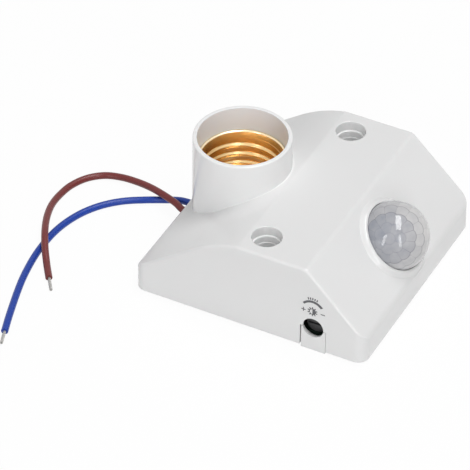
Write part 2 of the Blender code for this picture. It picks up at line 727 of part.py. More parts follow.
def mount_bores():
    """The stepped bores of the two wall-mounting posts."""
    second_top = BODY_HEIGHT - COUNTERBORE_DEPTH
    deep_top = BODY_HEIGHT - SECOND_BORE_DEPTH
    high = BODY_HEIGHT + CUT_MARGIN
    steps = [
        (0, 0),
        (MOUNT_HOLE_RADIUS, 0),
        (MOUNT_HOLE_RADIUS, POST_SEAT),
        (DEEP_BORE_RADIUS, POST_SEAT),
        (DEEP_BORE_RADIUS, deep_top),
        (SECOND_BORE_RADIUS, deep_top),
        (SECOND_BORE_RADIUS, second_top),
        (COUNTERBORE_RADIUS, second_top),
        (COUNTERBORE_RADIUS, high),
        (0, high),
    ]
    places = [(MOUNT_X, -MOUNT_Y), (MOUNT_X, MOUNT_Y)]
    return joined("mount_bores", [turned("mount_bore", steps, SMALL_SIDES, place) for place in places])


def screw_pilots():
    """The blind holes that the base screws and the sensor screws bite into."""
    base_top = BASE_SCREW_SINK + BASE_SCREW_HEAD_HEIGHT + BASE_SCREW_LENGTH + SEAT_GAP
    holes = []
    for place in base_screw_places():
        holes.append(cylinder("pilot", BASE_SCREW_RADIUS + SEAT_GAP, 0, base_top, TINY_SIDES, place))
    ear_top = EAR_TOP + SMALL_SCREW_BITE + 2 * SEAT_GAP
    for place in ear_places():
        hole = cylinder("ear_pilot", SMALL_SCREW_RADIUS + SEAT_GAP, EAR_TOP, ear_top, TINY_SIDES, place)
        holes.append(in_frame(hole, sensor_matrix()))
    return joined("screw_pilots", holes)


def adjuster_circle():
    """Outline of the adjuster hole in the -Y wall."""
    return circle(ADJUSTER_HOLE_RADIUS, SMALL_SIDES, ADJUSTER_X, ADJUSTER_Z)


def tongue_outline(width, rise):
    """Outline of the base plate's tongue, or of the slot that it closes from below."""
    top = ADJUSTER_Z - TONGUE_SHOULDER_DROP + rise
    return rectangle(ADJUSTER_X - width / 2, ADJUSTER_X + width / 2, -CUT_MARGIN, top)


def adjuster_opening(name, outline):
    """An opening right through the -Y wall."""
    return prism(name, outline, -HALF_WIDTH - CUT_MARGIN, WALL_INNER_Y + TRIMMER_WALL_ROOM / 2, "Y")


def lead_slot():
    """The slot in the back wall that both leads leave through."""
    half_height = LEAD_RADIUS + LEAD_SLOT_ROOM
    half_width = LEAD_EXIT_SPREAD + half_height
    low = LEAD_EXIT_HEIGHT - half_height
    high = LEAD_EXIT_HEIGHT + half_height
    outline = rectangle(-half_width, half_width, low, high, half_height * 0.98)
    return prism("lead_slot", outline, BACK_X - CUT_MARGIN, BACK_X + WALL + SEAT_GAP, "X")


def build_base_plate(material):
    """The moulded floor with its standoffs, screw holes and the tongue that fills the slot."""
    edge = WALL + SEAT_GAP
    outline = rectangle(
        BACK_X + edge, FRONT_X - edge, edge - HALF_WIDTH, HALF_WIDTH - edge, BASE_CORNER_RADIUS
    )
    plate = drafted(prism("base_plate", outline, 0, BASE_THICKNESS))
    tongue = prism("tongue", tongue_outline(TONGUE_WIDTH, 0), -HALF_WIDTH - WALL, edge - HALF_WIDTH, "Y")
    tongue.data.transform(Matrix.Translation((TONGUE_SHIFT, 0, 0)))
    combine(tongue, "INTERSECT", plan_block("tongue_plan", 0, 0, BODY_HEIGHT))
    hole = prism("hole", adjuster_circle(), -HALF_WIDTH - 2 * WALL, 0, "Y")
    combine(tongue, "DIFFERENCE", hole)
    left = ADJUSTER_X + TONGUE_SHIFT - TONGUE_WIDTH / 2
    foot = rectangle(left, left + TONGUE_WIDTH, 0, BASE_THICKNESS)
    combine(plate, "UNION", prism("foot", foot, WALL / 2 - HALF_WIDTH, 2 * WALL - HALF_WIDTH, "Y"))
    combine(plate, "UNION", tongue)

    high = BASE_THICKNESS + STANDOFF_HEIGHT
    standoffs = []
    for place in standoff_places():
        standoffs.append(cylinder("standoff", STANDOFF_RADIUS, BASE_THICKNESS / 2, high, TINY_SIDES, place))
    combine(plate, "UNION", joined("standoffs", standoffs))
    combine(plate, "DIFFERENCE", base_plate_holes())
    return dress(plate, material)


def base_plate_holes():
    """The base plate's two mounting holes and its four sunk screw holes."""
    high = 2 * BASE_THICKNESS
    holes = []
    for side in (-1, 1):
        place = (MOUNT_X, side * MOUNT_Y)
        holes.append(cylinder("mount_hole", MOUNT_HOLE_RADIUS, -CUT_MARGIN, high, SMALL_SIDES, place))
    sink = BASE_SCREW_SINK + BASE_SCREW_HEAD_HEIGHT + SEAT_GAP
    steps = [
        (0, -CUT_MARGIN),
        (BASE_SCREW_HEAD_RADIUS + SEAT_GAP, -CUT_MARGIN),
        (BASE_SCREW_HEAD_RADIUS + SEAT_GAP, sink),
        (BASE_SCREW_RADIUS + SEAT_GAP, sink),
        (BASE_SCREW_RADIUS + SEAT_GAP, high),
        (0, high),
    ]
    for place in base_screw_places():
        holes.append(turned("screw_hole", steps, SMALL_SIDES, place))
    return joined("plate_holes", holes)


def standoff_places():
    """Plan places of the four standoffs under the main board."""
    inset = 2 * STANDOFF_RADIUS
    left = BOARD_LEFT + inset
    right = BOARD_RIGHT - inset
    side = BOARD_HALF_WIDTH - inset
    return [(left, -side), (left, side), (right, side), (right, -side)]


def shell_profile(angle):
    """The threaded shell's wall at an angle: down its inside, across the floor and back outside."""
    thread_top = SHELL_TOP - SHELL_PLAIN_END
    thread_low = SHELL_BOTTOM + SHELL_PLAIN_END
    crest = SHELL_THREAD_DEPTH / 2
    wall = [
        (COLLAR_BORE_RADIUS - 2 * SEAT_GAP - SHELL_METAL, SHELL_TOP),
        (SHELL_ROOT_RADIUS, SHELL_TOP - SHELL_FLARE_HEIGHT),
    ]
    samples = round((thread_top - thread_low) / SHELL_THREAD_PITCH * SHELL_THREAD_STEPS)
    for sample in range(samples + 1):
        height = thread_top + (thread_low - thread_top) * sample / samples
        fade = min(1.0, sample / 2, (samples - sample) / 2)
        wave = math.cos(2 * math.pi * height / SHELL_THREAD_PITCH - angle)
        radius = SHELL_ROOT_RADIUS - crest + crest * (fade * wave + 1 - fade)
        wall.append((radius, height))
    floor = SHELL_BOTTOM + SHELL_METAL
    bend = SHELL_ROOT_RADIUS - SHELL_FLOOR_BEND
    wall.append((SHELL_ROOT_RADIUS - SHELL_FLOOR_BEND * 0.25, floor + SHELL_FLOOR_BEND * 0.4))
    wall.append((bend, floor))
    underside = [(SHELL_FLOOR_HOLE, floor), (SHELL_FLOOR_HOLE, SHELL_BOTTOM), (bend, SHELL_BOTTOM)]
    outside = [(radius + SHELL_METAL, height) for radius, height in reversed(wall[:-1])]
    return [*wall, *underside, *outside]


def rivet(name, place, low, high, material):
    """A rivet with a head at each end of its grip, from under one level to over the other."""
    steps = [
        (0, low - RIVET_HEAD_HEIGHT),
        (RIVET_HEAD_RADIUS, low - RIVET_HEAD_HEIGHT),
        (RIVET_HEAD_RADIUS, low),
        (RIVET_SHANK_RADIUS, low),
        (RIVET_SHANK_RADIUS, high),
        (RIVET_HEAD_RADIUS, high),
        (RIVET_HEAD_RADIUS * 0.7, high + RIVET_HEAD_HEIGHT),
        (0, high + RIVET_HEAD_HEIGHT),
    ]
    return dress(turned(name, steps, TINY_SIDES, place), material)


def build_socket(brass, bronze, insulator, steel):
    """The lamp's screw shell and centre contact on their insulating disc."""
    contact_rivet_place = (SOCKET_X + CONTACT_REACH / 2, 0.0)
    shell_rivet_places = [(SOCKET_X + side * SHELL_RIVET_OFFSET, 0.0) for side in (1, -1)]
    rivet_hole = RIVET_SHANK_RADIUS + SEAT_GAP

    steps = [
        (0, INSERT_BOTTOM),
        (INSERT_RADIUS, INSERT_BOTTOM),
        (INSERT_RADIUS, INSERT_TOP),
        (INSERT_BOSS_RADIUS, INSERT_TOP),
        (INSERT_BOSS_RADIUS, BOSS_TOP),
        (0, BOSS_TOP),
    ]
    insert = turned("socket_insert", steps, LARGE_SIDES, (SOCKET_X, 0.0))
    holes = []
    for place in [contact_rivet_place, *shell_rivet_places]:
        low = INSERT_BOTTOM - SEAT_GAP
        holes.append(cylinder("hole", rivet_hole, low, BOSS_TOP + SEAT_GAP, TINY_SIDES, place))
    for place in insert_screw_places():
        reach = INSERT_BOTTOM + SMALL_SCREW_BITE
        holes.append(cylinder("hole", SMALL_SCREW_RADIUS + SEAT_GAP, 0, reach, TINY_SIDES, place))
    combine(insert, "DIFFERENCE", joined("holes", holes))
    dress(insert, insulator)

    shell = turned("screw_shell", shell_profile, SHELL_THREAD_SIDES, (SOCKET_X, 0.0))
    holes = []
    for place in shell_rivet_places:
        high = SHELL_BOTTOM + 2 * SHELL_METAL
        holes.append(cylinder("hole", rivet_hole, SHELL_BOTTOM - SHELL_METAL, high, TINY_SIDES, place))
    combine(shell, "DIFFERENCE", joined("holes", holes))
    dress(shell, brass)

    contact = build_centre_contact()
    low = CONTACT_BOTTOM - CONTACT_METAL
    high = CONTACT_BOTTOM + 2 * CONTACT_METAL
    hole = cylinder("hole", rivet_hole, low, high, TINY_SIDES, contact_rivet_place)
    combine(contact, "DIFFERENCE", hole)
    dress(contact, bronze)

    under = INSERT_BOTTOM - SEAT_GAP
    over = CONTACT_BOTTOM + CONTACT_METAL + SEAT_GAP
    rivet("contact_rivet", contact_rivet_place, under, over, bronze)
    for number, place in enumerate(shell_rivet_places, 1):
        rivet(f"shell_rivet_{number}", place, under, SHELL_BOTTOM + SHELL_METAL + SEAT_GAP, brass)

    head = COLLAR_BOTTOM - SEAT_GAP
    length = INSERT_BOTTOM - head + SMALL_SCREW_BITE - SEAT_GAP
    for number, place in enumerate(insert_screw_places(), 1):
        screw = build_screw(f"insert_screw_{number}", SMALL_SCREW_RADIUS, length, *SMALL_SCREW_HEAD)
        screw.location = (*place, head)
        dress(screw, steel)
    return contact_rivet_place, shell_rivet_places[0]


def build_centre_contact():
    """The springy contact strip: flat under its rivet, then folded up and back over it."""
    reach = CONTACT_REACH
    rise = CONTACT_RISE
    line = [
        (reach, 0.0),
        (-0.75 * reach, 0.0),
        (-1.05 * reach, 0.12 * rise),
        (-1.2 * reach, 0.33 * rise),
        (-1.1 * reach, 0.55 * rise),
        (-0.8 * reach, 0.72 * rise),
        (0.0, rise),
        (0.4 * reach, 1.02 * rise),
        (0.75 * reach, 0.9 * rise),
    ]
    points = [Vector((SOCKET_X + x, CONTACT_BOTTOM + CONTACT_METAL / 2 + z)) for x, z in line]
    offsets = []
    for index, point in enumerate(points):
        came = (point - points[max(index - 1, 0)]).normalized()
        goes = (points[min(index + 1, len(points) - 1)] - point).normalized()
        along = (came + goes).normalized()
        offsets.append(Vector((-along.y, along.x)) * CONTACT_METAL / 2)
    upper = [point + offset for point, offset in zip(points, offsets)]
    lower = [point - offset for point, offset in zip(points, offsets)]
    outline = [tuple(point) for point in upper + lower[::-1]]
    return prism("centre_contact", outline, -CONTACT_WIDTH / 2, CONTACT_WIDTH / 2, "Y")


def build_screw(name, radius, length, head_radius, head_height):
    """A pan-head screw that points up, its head under the origin, with a cross recess."""
    steps = [
        (0, -head_height),
        (head_radius * 0.72, -head_height),
        (head_radius, -head_height * 0.55),
        (head_radius, 0),
        (radius, 0),
        (radius, length - radius),
        (radius * 0.3, length),
        (0, length),
    ]
    screw = turned(name, steps, TINY_SIDES)
    reach = head_radius * RECESS_SHARE
    half = RECESS_WIDTH / 2
    cross = [
        (-half, -reach), (half, -reach), (half, -half), (reach, -half), (reach, half), (half, half),
        (half, reach), (-half, reach), (-half, half), (-reach, half), (-reach, -half), (-half, -half),
    ]
    recess = prism("recess", cross, -2 * head_height, -head_height * RECESS_FLOOR_SHARE)
    return combine(screw, "DIFFERENCE", recess)


def build_base_screws(steel):
    """Four self-tapping screws, driven from below through the base plate into the bosses."""
    head = (BASE_SCREW_HEAD_RADIUS, BASE_SCREW_HEAD_HEIGHT)
    for number, place in enumerate(base_screw_places(), 1):
        screw = build_screw(f"base_screw_{number}", BASE_SCREW_RADIUS, BASE_SCREW_LENGTH, *head)
        screw.location = (*place, BASE_SCREW_SINK + BASE_SCREW_HEAD_HEIGHT)
        dress(screw, steel)


def dome_profile():
    """The lens in section: flange, short skirt and a dome of even wall."""
    inner = DOME_RADIUS - DOME_WALL
    steps = 6
    outside = [
        (inner, FLANGE_BOTTOM),
        (DOME_RADIUS + DOME_FLANGE_WIDTH, FLANGE_BOTTOM),
        (DOME_RADIUS + DOME_FLANGE_WIDTH, FLANGE_TOP),
        (DOME_RADIUS, FLANGE_TOP),
    ]
    for step in range(steps):
        angle = math.pi / 2 * step / steps
        outside.append((DOME_RADIUS * math.cos(angle), DOME_CENTRE_RISE + DOME_RADIUS * math.sin(angle)))
    outside.append((0, DOME_CENTRE_RISE + DOME_RADIUS))
    inside = [(0, DOME_CENTRE_RISE + inner)]
    for step in range(1, steps + 1):
        angle = math.pi / 2 * (1 - step / steps)
        inside.append((inner * math.cos(angle), DOME_CENTRE_RISE + inner * math.sin(angle)))
    return outside + inside


def build_sensor(lens_plastic, white, green, steel, dark):
    """The dome lens, the ring that holds it and the sensor board behind it, on the slope's axis."""
    carrier = axis_empty("sensor_axis", sensor_matrix())
    dress(turned("lens", dome_profile(), LARGE_SIDES), lens_plastic, carrier)

    inner = RETAINER_RADIUS - RETAINER_WALL
    ring = [
        (inner, RETAINER_BOTTOM),
        (RETAINER_RADIUS, RETAINER_BOTTOM),
        (RETAINER_RADIUS, RETAINER_TOP),
        (inner, RETAINER_TOP),
    ]
    retainer = turned("lens_retainer", ring, SMALL_SIDES * 2)
    for place in ear_places():
        ends = sorted((math.copysign(inner + RETAINER_WALL / 2, place[1]), place[1]))
        arm = rectangle(-RETAINER_EAR_RADIUS, RETAINER_EAR_RADIUS, *ends)
        combine(retainer, "UNION", prism("arm", arm, RETAINER_BOTTOM, EAR_TOP))
        ear = cylinder("ear", RETAINER_EAR_RADIUS, RETAINER_BOTTOM, EAR_TOP, SMALL_SIDES, place)
        combine(retainer, "UNION", ear)
    combine(retainer, "DIFFERENCE", ear_holes(RETAINER_BOTTOM, EAR_TOP))
    dress(retainer, white, carrier)

    half_length = SENSOR_BOARD_LENGTH / 2
    half_width = RETAINER_EAR_OFFSET + SENSOR_BOARD_EDGE
    outline = rectangle(-half_length, half_length, -half_width, half_width, SENSOR_BOARD_CORNER)
    board = prism("sensor_board", outline, SENSOR_BOARD_BOTTOM, SENSOR_BOARD_TOP)
    combine(board, "DIFFERENCE", ear_holes(SENSOR_BOARD_BOTTOM, SENSOR_BOARD_TOP))
    dress(board, green, carrier)
    build_sensor_parts(carrier, steel, dark)


def ear_holes(low, high):
    """Clearance holes for the two sensor screws through a piece between two levels."""
    radius = SMALL_SCREW_RADIUS + SEAT_GAP
    ends = (low - SEAT_GAP, high + SEAT_GAP)
    holes = [cylinder("hole", radius, *ends, TINY_SIDES, place) for place in ear_places()]
    return joined("ear_holes", holes)


def build_sensor_parts(carrier, steel, dark):
    """What the sensor board carries: sensor can, light cell, its two screws and the link pins."""
    can_low = SENSOR_BOARD_TOP + SEAT_GAP
    can_high = can_low + SENSOR_CAN_HEIGHT
    can_steps = [
        (0, can_low),
        (SENSOR_CAN_RADIUS + SENSOR_CAN_FLANGE, can_low),
        (SENSOR_CAN_RADIUS + SENSOR_CAN_FLANGE, can_low + SENSOR_CAN_FLANGE_THICKNESS),
        (SENSOR_CAN_RADIUS, can_low + SENSOR_CAN_FLANGE_THICKNESS),
        (SENSOR_CAN_RADIUS, can_high - SEAT_GAP),
        (SENSOR_CAN_RADIUS - SEAT_GAP, can_high),
        (0, can_high),
    ]
    can = turned("pir_sensor", can_steps, SMALL_SIDES)
    window_length, window_width = SENSOR_WINDOW
    opening = (window_length + 2 * SEAT_GAP, window_width + 2 * SEAT_GAP, 2 * SENSOR_WINDOW_DEPTH)
    recess = block("recess", opening, (0.0, 0.0), can_high - SENSOR_WINDOW_DEPTH)
    combine(can, "DIFFERENCE", recess)
    dress(can, steel, carrier)
    pane = (window_length, window_width, SENSOR_WINDOW_DEPTH - SEAT_GAP)
    window = block("pir_window", pane, (0.0, 0.0), can_high - SENSOR_WINDOW_DEPTH + SEAT_GAP)
    dress(window, dark, carrier)

    room = (RETAINER_RADIUS - RETAINER_WALL + SENSOR_CAN_RADIUS + SENSOR_CAN_FLANGE) / 2
    cell_top = can_low + LIGHT_CELL_HEIGHT
    cell = cylinder("light_cell", LIGHT_CELL_RADIUS, can_low, cell_top, SMALL_SIDES, (0.0, room))
    dress(cell, dark, carrier)

    length = SENSOR_BOARD_THICKNESS + RETAINER_EAR_THICKNESS + SMALL_SCREW_BITE + 3 * SEAT_GAP
    for number, place in enumerate(ear_places(), 1):
        screw = build_screw(f"sensor_screw_{number}", SMALL_SCREW_RADIUS, length, *SMALL_SCREW_HEAD)
        screw.location = (*place, SENSOR_BOARD_BOTTOM - SEAT_GAP)
        dress(screw, steel, carrier)

    foot = sensor_matrix() @ Vector((-LINK_PIN_DOWN_BOARD, 0, SENSOR_BOARD_BOTTOM))
    pin_top = foot.z - SEAT_GAP - LINK_PIN_RADIUS * 2
    for number in range(LINK_PIN_COUNT):
        y = (number - (LINK_PIN_COUNT - 1) / 2) * LINK_PIN_PITCH
        name = f"link_pin_{number + 1}"
        dress(cylinder(name, LINK_PIN_RADIUS, PART_SEAT, pin_top, TINY_SIDES, (foot.x, y)), steel)


def build_board(green, dark, blue, grey, cream):
    """The main circuit board and the parts that stand on it."""
    wing_edge = -INNER_HALF_WIDTH + BOARD_WALL_ROOM
    half = BOARD_HALF_WIDTH
    outline = [
        (BOARD_LEFT, -half), (WING_LEFT, -half), (WING_LEFT, wing_edge), (WING_RIGHT, wing_edge),
        (WING_RIGHT, -half), (BOARD_RIGHT, -half), (BOARD_RIGHT, half), (BOARD_LEFT, half),
    ]
    dress(prism("circuit_board", outline, BOARD_BOTTOM, BOARD_TOP), green)

    start = BOARD_LEFT + PAD_STRIP
    relay_centre = (start + RELAY_SIZE[0] / 2, half - PART_GAP - RELAY_SIZE[1] / 2)
    dress(block("relay", RELAY_SIZE, relay_centre, PART_SEAT), blue)
    film_centre = (start + FILM_CAPACITOR_SIZE[0] / 2, PART_GAP + FILM_CAPACITOR_SIZE[1] / 2 - half)
    dress(block("film_capacitor", FILM_CAPACITOR_SIZE, film_centre, PART_SEAT), cream)

    can_y = relay_centre[1] - RELAY_SIZE[1] / 2 - PART_GAP - SMOOTHING_CAPACITOR_RADIUS
    can_x = start + FILM_CAPACITOR_SIZE[0] + PART_GAP + SMOOTHING_CAPACITOR_RADIUS
    can_top = PART_SEAT + SMOOTHING_CAPACITOR_HEIGHT
    radius = SMOOTHING_CAPACITOR_RADIUS
    dress(cylinder("smoothing_capacitor", radius, PART_SEAT, can_top, SMALL_SIDES, (can_x, can_y)), dark)

    fuse_x = start + FILM_CAPACITOR_SIZE[0] + PART_GAP + FUSE_RESISTOR_RADIUS
    fuse_y = PART_GAP + FUSE_RESISTOR_LENGTH / 2 - half
    place = (fuse_x, fuse_y, PART_SEAT + FUSE_RESISTOR_RADIUS)
    dress(lying("fuse_resistor", FUSE_RESISTOR_RADIUS, FUSE_RESISTOR_LENGTH, place), grey)

    chip_x = fuse_x + FUSE_RESISTOR_RADIUS + PART_GAP + CHIP_SIZE[0] / 2
    chip_y = PART_GAP + CHIP_SIZE[1] / 2 - half
    dress(block("controller_chip", CHIP_SIZE, (chip_x, chip_y), PART_SEAT), dark)

    first_diode = relay_centre[0] + RELAY_SIZE[0] / 2 + PART_GAP + DIODE_RADIUS
    for number in range(DIODE_COUNT):
        place = (first_diode + number * DIODE_PITCH, half / 2, PART_SEAT + DIODE_RADIUS)
        dress(lying(f"rectifier_diode_{number + 1}", DIODE_RADIUS, DIODE_LENGTH, place, TINY_SIDES), dark)


def build_trimmer(body_material, rotor_material):
    """The trimmer that sets the light level, facing out through the adjuster hole."""
    body_front = ROTOR_FACE_Y + ROTOR_THICKNESS + SEAT_GAP
    half = TRIMMER_SIZE / 2
    outline = rectangle(ADJUSTER_X - half, ADJUSTER_X + half, ADJUSTER_Z - half, ADJUSTER_Z + half)
    body = prism("trimmer_body", outline, body_front, body_front + TRIMMER_DEPTH, "Y")
    bearing = circle(ROTOR_SPIGOT_RADIUS + SEAT_GAP, TINY_SIDES, ADJUSTER_X, ADJUSTER_Z)
    bearing_end = body_front + ROTOR_SPIGOT_LENGTH
    combine(body, "DIFFERENCE", prism("bearing", bearing, body_front - SEAT_GAP, bearing_end, "Y"))
    dress(body, body_material)

    facing_out = Matrix.Rotation(math.pi / 2, 4, "X")
    origin = Matrix.Translation((ADJUSTER_X, ROTOR_FACE_Y + ROTOR_THICKNESS, ADJUSTER_Z))
    carrier = axis_empty("adjuster_axis", origin @ facing_out)
    steps = [
        (0, -ROTOR_SPIGOT_LENGTH),
        (ROTOR_SPIGOT_RADIUS, -ROTOR_SPIGOT_LENGTH),
        (ROTOR_SPIGOT_RADIUS, 0),
        (ROTOR_RADIUS, 0),
        (ROTOR_RADIUS, ROTOR_THICKNESS),
        (0, ROTOR_THICKNESS),
    ]
    rotor = turned("trimmer_rotor", steps, SMALL_SIDES)
    half_slot = ROTOR_SLOT_WIDTH / 2
    reach = ROTOR_RADIUS * 0.8
    slot_floor = ROTOR_THICKNESS - ROTOR_SLOT_DEPTH
    slot = prism("slot", rectangle(-half_slot, half_slot, -reach, reach), slot_floor, ROTOR_THICKNESS * 2)
    combine(rotor, "DIFFERENCE", slot)
    dress(rotor, rotor_material, carrier)


def build_leads(brown, blue, tinned):
    """The two mains leads: inside to the board, and free outside to their bare ends."""
    for name, side, route, material in (
        ("live", -1, LIVE_LEAD_ROUTE, brown),
        ("neutral", 1, NEUTRAL_LEAD_ROUTE, blue),
    ):
        start = Vector((BACK_X + WALL / 2, side * LEAD_EXIT_SPREAD, LEAD_EXIT_HEIGHT))
        straight = start - Vector((WALL / 2 + LEAD_DIAMETER, 0, 0))
        outside = [start, straight, *[Vector(point) * MM for point in route]]
        points = smooth_route(outside, LEAD_POINT_SPACING, LEAD_RADIUS)
        wire(f"{name}_lead", points, LEAD_DIAMETER, material)

        direction = (points[-1] - points[-2]).normalized()
        tip = cylinder(f"{name}_lead_tip", BARE_TIP_RADIUS, 0, BARE_TIP_LENGTH, TINY_SIDES)
        tip.location = points[-1] + direction * SEAT_GAP
        tip.rotation_euler = direction.to_track_quat("Z", "Y").to_euler()
        dress(tip, tinned)

        points = smooth_route(inner_lead_route(side), WIRE_POINT_SPACING, LEAD_RADIUS)
        wire(f"{name}_lead_inner", points, LEAD_DIAMETER, material)


def inner_lead_route(side):
    """A lead's way from the slot, under the socket between its screws, and up to its pad."""
    under = COLLAR_BOTTOM - LEAD_RADIUS - 2 * SEAT_GAP
    screw_side = INSERT_SCREW_OFFSET - SMALL_SCREW_HEAD[0] - LEAD_RADIUS - 4 * SEAT_GAP
    collar_edge = math.sqrt(COLLAR_FOOT_RADIUS**2 - LEAD_PAD_OFFSET**2)
    pad = Vector((BOARD_LEFT + PAD_INSET, side * LEAD_PAD_OFFSET, PART_SEAT))
    return [
        Vector((BACK_X + WALL / 2 + SEAT_GAP, side * LEAD_EXIT_SPREAD, LEAD_EXIT_HEIGHT)),
        Vector((BACK_X + 2 * WALL, side * LEAD_EXIT_SPREAD, LEAD_EXIT_HEIGHT)),
        Vector((SOCKET_X - COLLAR_RADIUS / 2, side * screw_side * 0.75, under)),
        Vector((SOCKET_X, side * screw_side, under)),
        Vector((SOCKET_X + COLLAR_RADIUS / 2, side * (screw_side + LEAD_PAD_OFFSET) / 2, under)),
        Vector((SOCKET_X + collar_edge, pad.y, under)),
        *pad_arch(pad, LEAD_RADIUS),
    ]


def pad_arch(pad, radius):
    """The last points of a wire: over the board's edge, then straight down to its pad."""
    over = 2.2 * radius
    return [
        pad + Vector((-1.8 * radius - SEAT_GAP, 0, over)),
        pad + Vector((-0.5 * radius, 0, over + 0.6 * radius)),
        pad + Vector((0, 0, over)),
        pad + Vector((0, 0, SEAT_GAP)),
        pad,
    ]


def build_hookup_wires(contact_place, shell_place, red, white):
    """The two short wires from the rivets of the contact and the shell to the board."""
    for name, side, place, material in (
        ("contact_wire", -1, contact_place, red),
        ("shell_wire", 1, shell_place, white),
    ):
        radius = HOOKUP_DIAMETER / 2
        low = COLLAR_BOTTOM - radius - 2 * SEAT_GAP
        start = Vector((place[0], 0, INSERT_BOTTOM - 2 * SEAT_GAP - RIVET_HEAD_HEIGHT))
        edge = Vector((SOCKET_X + COLLAR_FOOT_RADIUS, side * HOOKUP_PAD_OFFSET, low))
        pad = Vector((BOARD_LEFT + PAD_INSET, edge.y, PART_SEAT))
        route = [
            start,
            start - Vector((0, 0, SEAT_GAP)),
            Vector((start.x + SEAT_GAP, side * SEAT_GAP, low + SEAT_GAP)),
            Vector(((start.x + edge.x) / 2, 0.6 * edge.y, low - SEAT_GAP)),
            edge,
            *pad_arch(pad, radius),
        ]
        wire(name, smooth_route(route, HOOKUP_POINT_SPACING, radius), HOOKUP_DIAMETER, material)


def build_lamp_holder():
    """Builds every piece of the lamp holder."""
    clear_scene()
    white = finish("white_plastic", (0.86, 0.86, 0.86), 0.3)
    insulator = finish("insulator_ceramic", (0.85, 0.83, 0.78), 0.4)
    brass = finish("brass_sheet", (0.83, 0.58, 0.27), 0.3, 1.0)
    bronze = finish("spring_bronze", (0.75, 0.5, 0.3), 0.35, 1.0)
    lens_plastic = finish("lens_plastic", (0.8, 0.82, 0.85), 0.3, alpha=0.6)
    green = finish("board_laminate", (0.12, 0.32, 0.18), 0.5)
    steel = finish("plated_steel", (0.7, 0.7, 0.7), 0.35, 1.0)
    dark = finish("dark_plastic", (0.03, 0.03, 0.03), 0.45)
    relay_blue = finish("relay_case", (0.08, 0.2, 0.5), 0.4)
    grey = finish("resistor_body", (0.4, 0.42, 0.42), 0.5)
    cream = finish("film_capacitor_case", (0.75, 0.6, 0.2), 0.4)
    brown = finish("brown_insulation", (0.2, 0.05, 0.04), 0.45)
    blue = finish("blue_insulation", (0.02, 0.05, 0.35), 0.45)
    red = finish("red_insulation", (0.5, 0.04, 0.03), 0.45)
    pale = finish("white_insulation", (0.8, 0.8, 0.8), 0.45)
    tinned = finish("tinned_copper", (0.7, 0.68, 0.65), 0.35, 1.0)

    build_housing(white)
    build_base_plate(white)
    contact_place, shell_place = build_socket(brass, bronze, insulator, steel)
    build_base_screws(steel)
    build_sensor(lens_plastic, white, green, steel, dark)
    build_board(green, dark, relay_blue, grey, cream)
    build_trimmer(relay_blue, dark)
    build_leads(brown, blue, tinned)
    build_hookup_wires(contact_place, shell_place, red, pale)


build_lamp_holder()
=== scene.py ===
"""The looks of a lamp holder with a motion sensor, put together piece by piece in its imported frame.

Lengths are in metres. +X runs from the lamp socket to the sensor dome, +Z away from the wall or
ceiling that the holder is fixed to, and the light-level adjuster is in the -Y wall.
"""

import json
import math
import random

import bmesh
import bpy
from mathutils import Matrix, Vector

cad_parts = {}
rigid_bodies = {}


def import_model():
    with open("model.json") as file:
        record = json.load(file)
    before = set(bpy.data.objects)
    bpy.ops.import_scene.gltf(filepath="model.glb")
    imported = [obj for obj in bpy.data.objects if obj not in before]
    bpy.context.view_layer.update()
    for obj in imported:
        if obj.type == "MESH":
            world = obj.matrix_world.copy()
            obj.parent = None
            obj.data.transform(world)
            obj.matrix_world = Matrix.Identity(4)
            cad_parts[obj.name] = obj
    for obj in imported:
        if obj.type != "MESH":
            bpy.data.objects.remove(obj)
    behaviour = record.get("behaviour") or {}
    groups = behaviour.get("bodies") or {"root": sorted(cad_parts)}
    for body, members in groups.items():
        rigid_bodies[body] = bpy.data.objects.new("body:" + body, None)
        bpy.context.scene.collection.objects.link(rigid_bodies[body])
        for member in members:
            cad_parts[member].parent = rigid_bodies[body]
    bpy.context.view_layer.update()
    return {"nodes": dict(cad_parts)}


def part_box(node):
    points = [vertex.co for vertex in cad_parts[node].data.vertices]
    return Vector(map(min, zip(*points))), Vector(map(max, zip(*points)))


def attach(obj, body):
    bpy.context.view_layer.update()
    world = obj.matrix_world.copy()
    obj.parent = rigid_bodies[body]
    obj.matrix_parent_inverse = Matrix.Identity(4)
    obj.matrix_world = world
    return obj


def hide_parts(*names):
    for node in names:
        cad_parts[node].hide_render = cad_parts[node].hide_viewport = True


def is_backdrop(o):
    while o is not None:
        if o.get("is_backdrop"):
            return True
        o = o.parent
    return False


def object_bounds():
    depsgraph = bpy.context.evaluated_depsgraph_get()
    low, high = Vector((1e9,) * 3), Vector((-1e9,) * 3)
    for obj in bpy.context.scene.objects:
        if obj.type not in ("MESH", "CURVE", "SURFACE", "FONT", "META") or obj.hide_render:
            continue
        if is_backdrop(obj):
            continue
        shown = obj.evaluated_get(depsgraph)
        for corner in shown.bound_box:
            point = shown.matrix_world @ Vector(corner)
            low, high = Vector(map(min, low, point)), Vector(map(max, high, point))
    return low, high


for old in list(bpy.data.objects):
    bpy.data.objects.remove(old)
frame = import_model()

# The camera stands at the photograph's viewing angle, a metre and a quarter from the object.
# A long lens keeps the shell's edges nearly parallel, as in the photograph.
MM = 0.001
DEGREE = math.pi / 180
CAMERA_AZIMUTH = 27.353 * DEGREE
CAMERA_ELEVATION = 40.005 * DEGREE
CAMERA_DISTANCE = 1270.6 * MM
CAMERA_AIM = Vector((-24.52, -0.94, 0)) * MM
CAMERA_LENS = 297.9
SENSOR_WIDTH = 36.0
CLIP_RANGE = (0.05, 20)


def add_object(name, data):
    """An object in the scene at the origin, unturned and unscaled."""
    made = bpy.data.objects.new(name, data)
    bpy.context.scene.collection.objects.link(made)
    return made


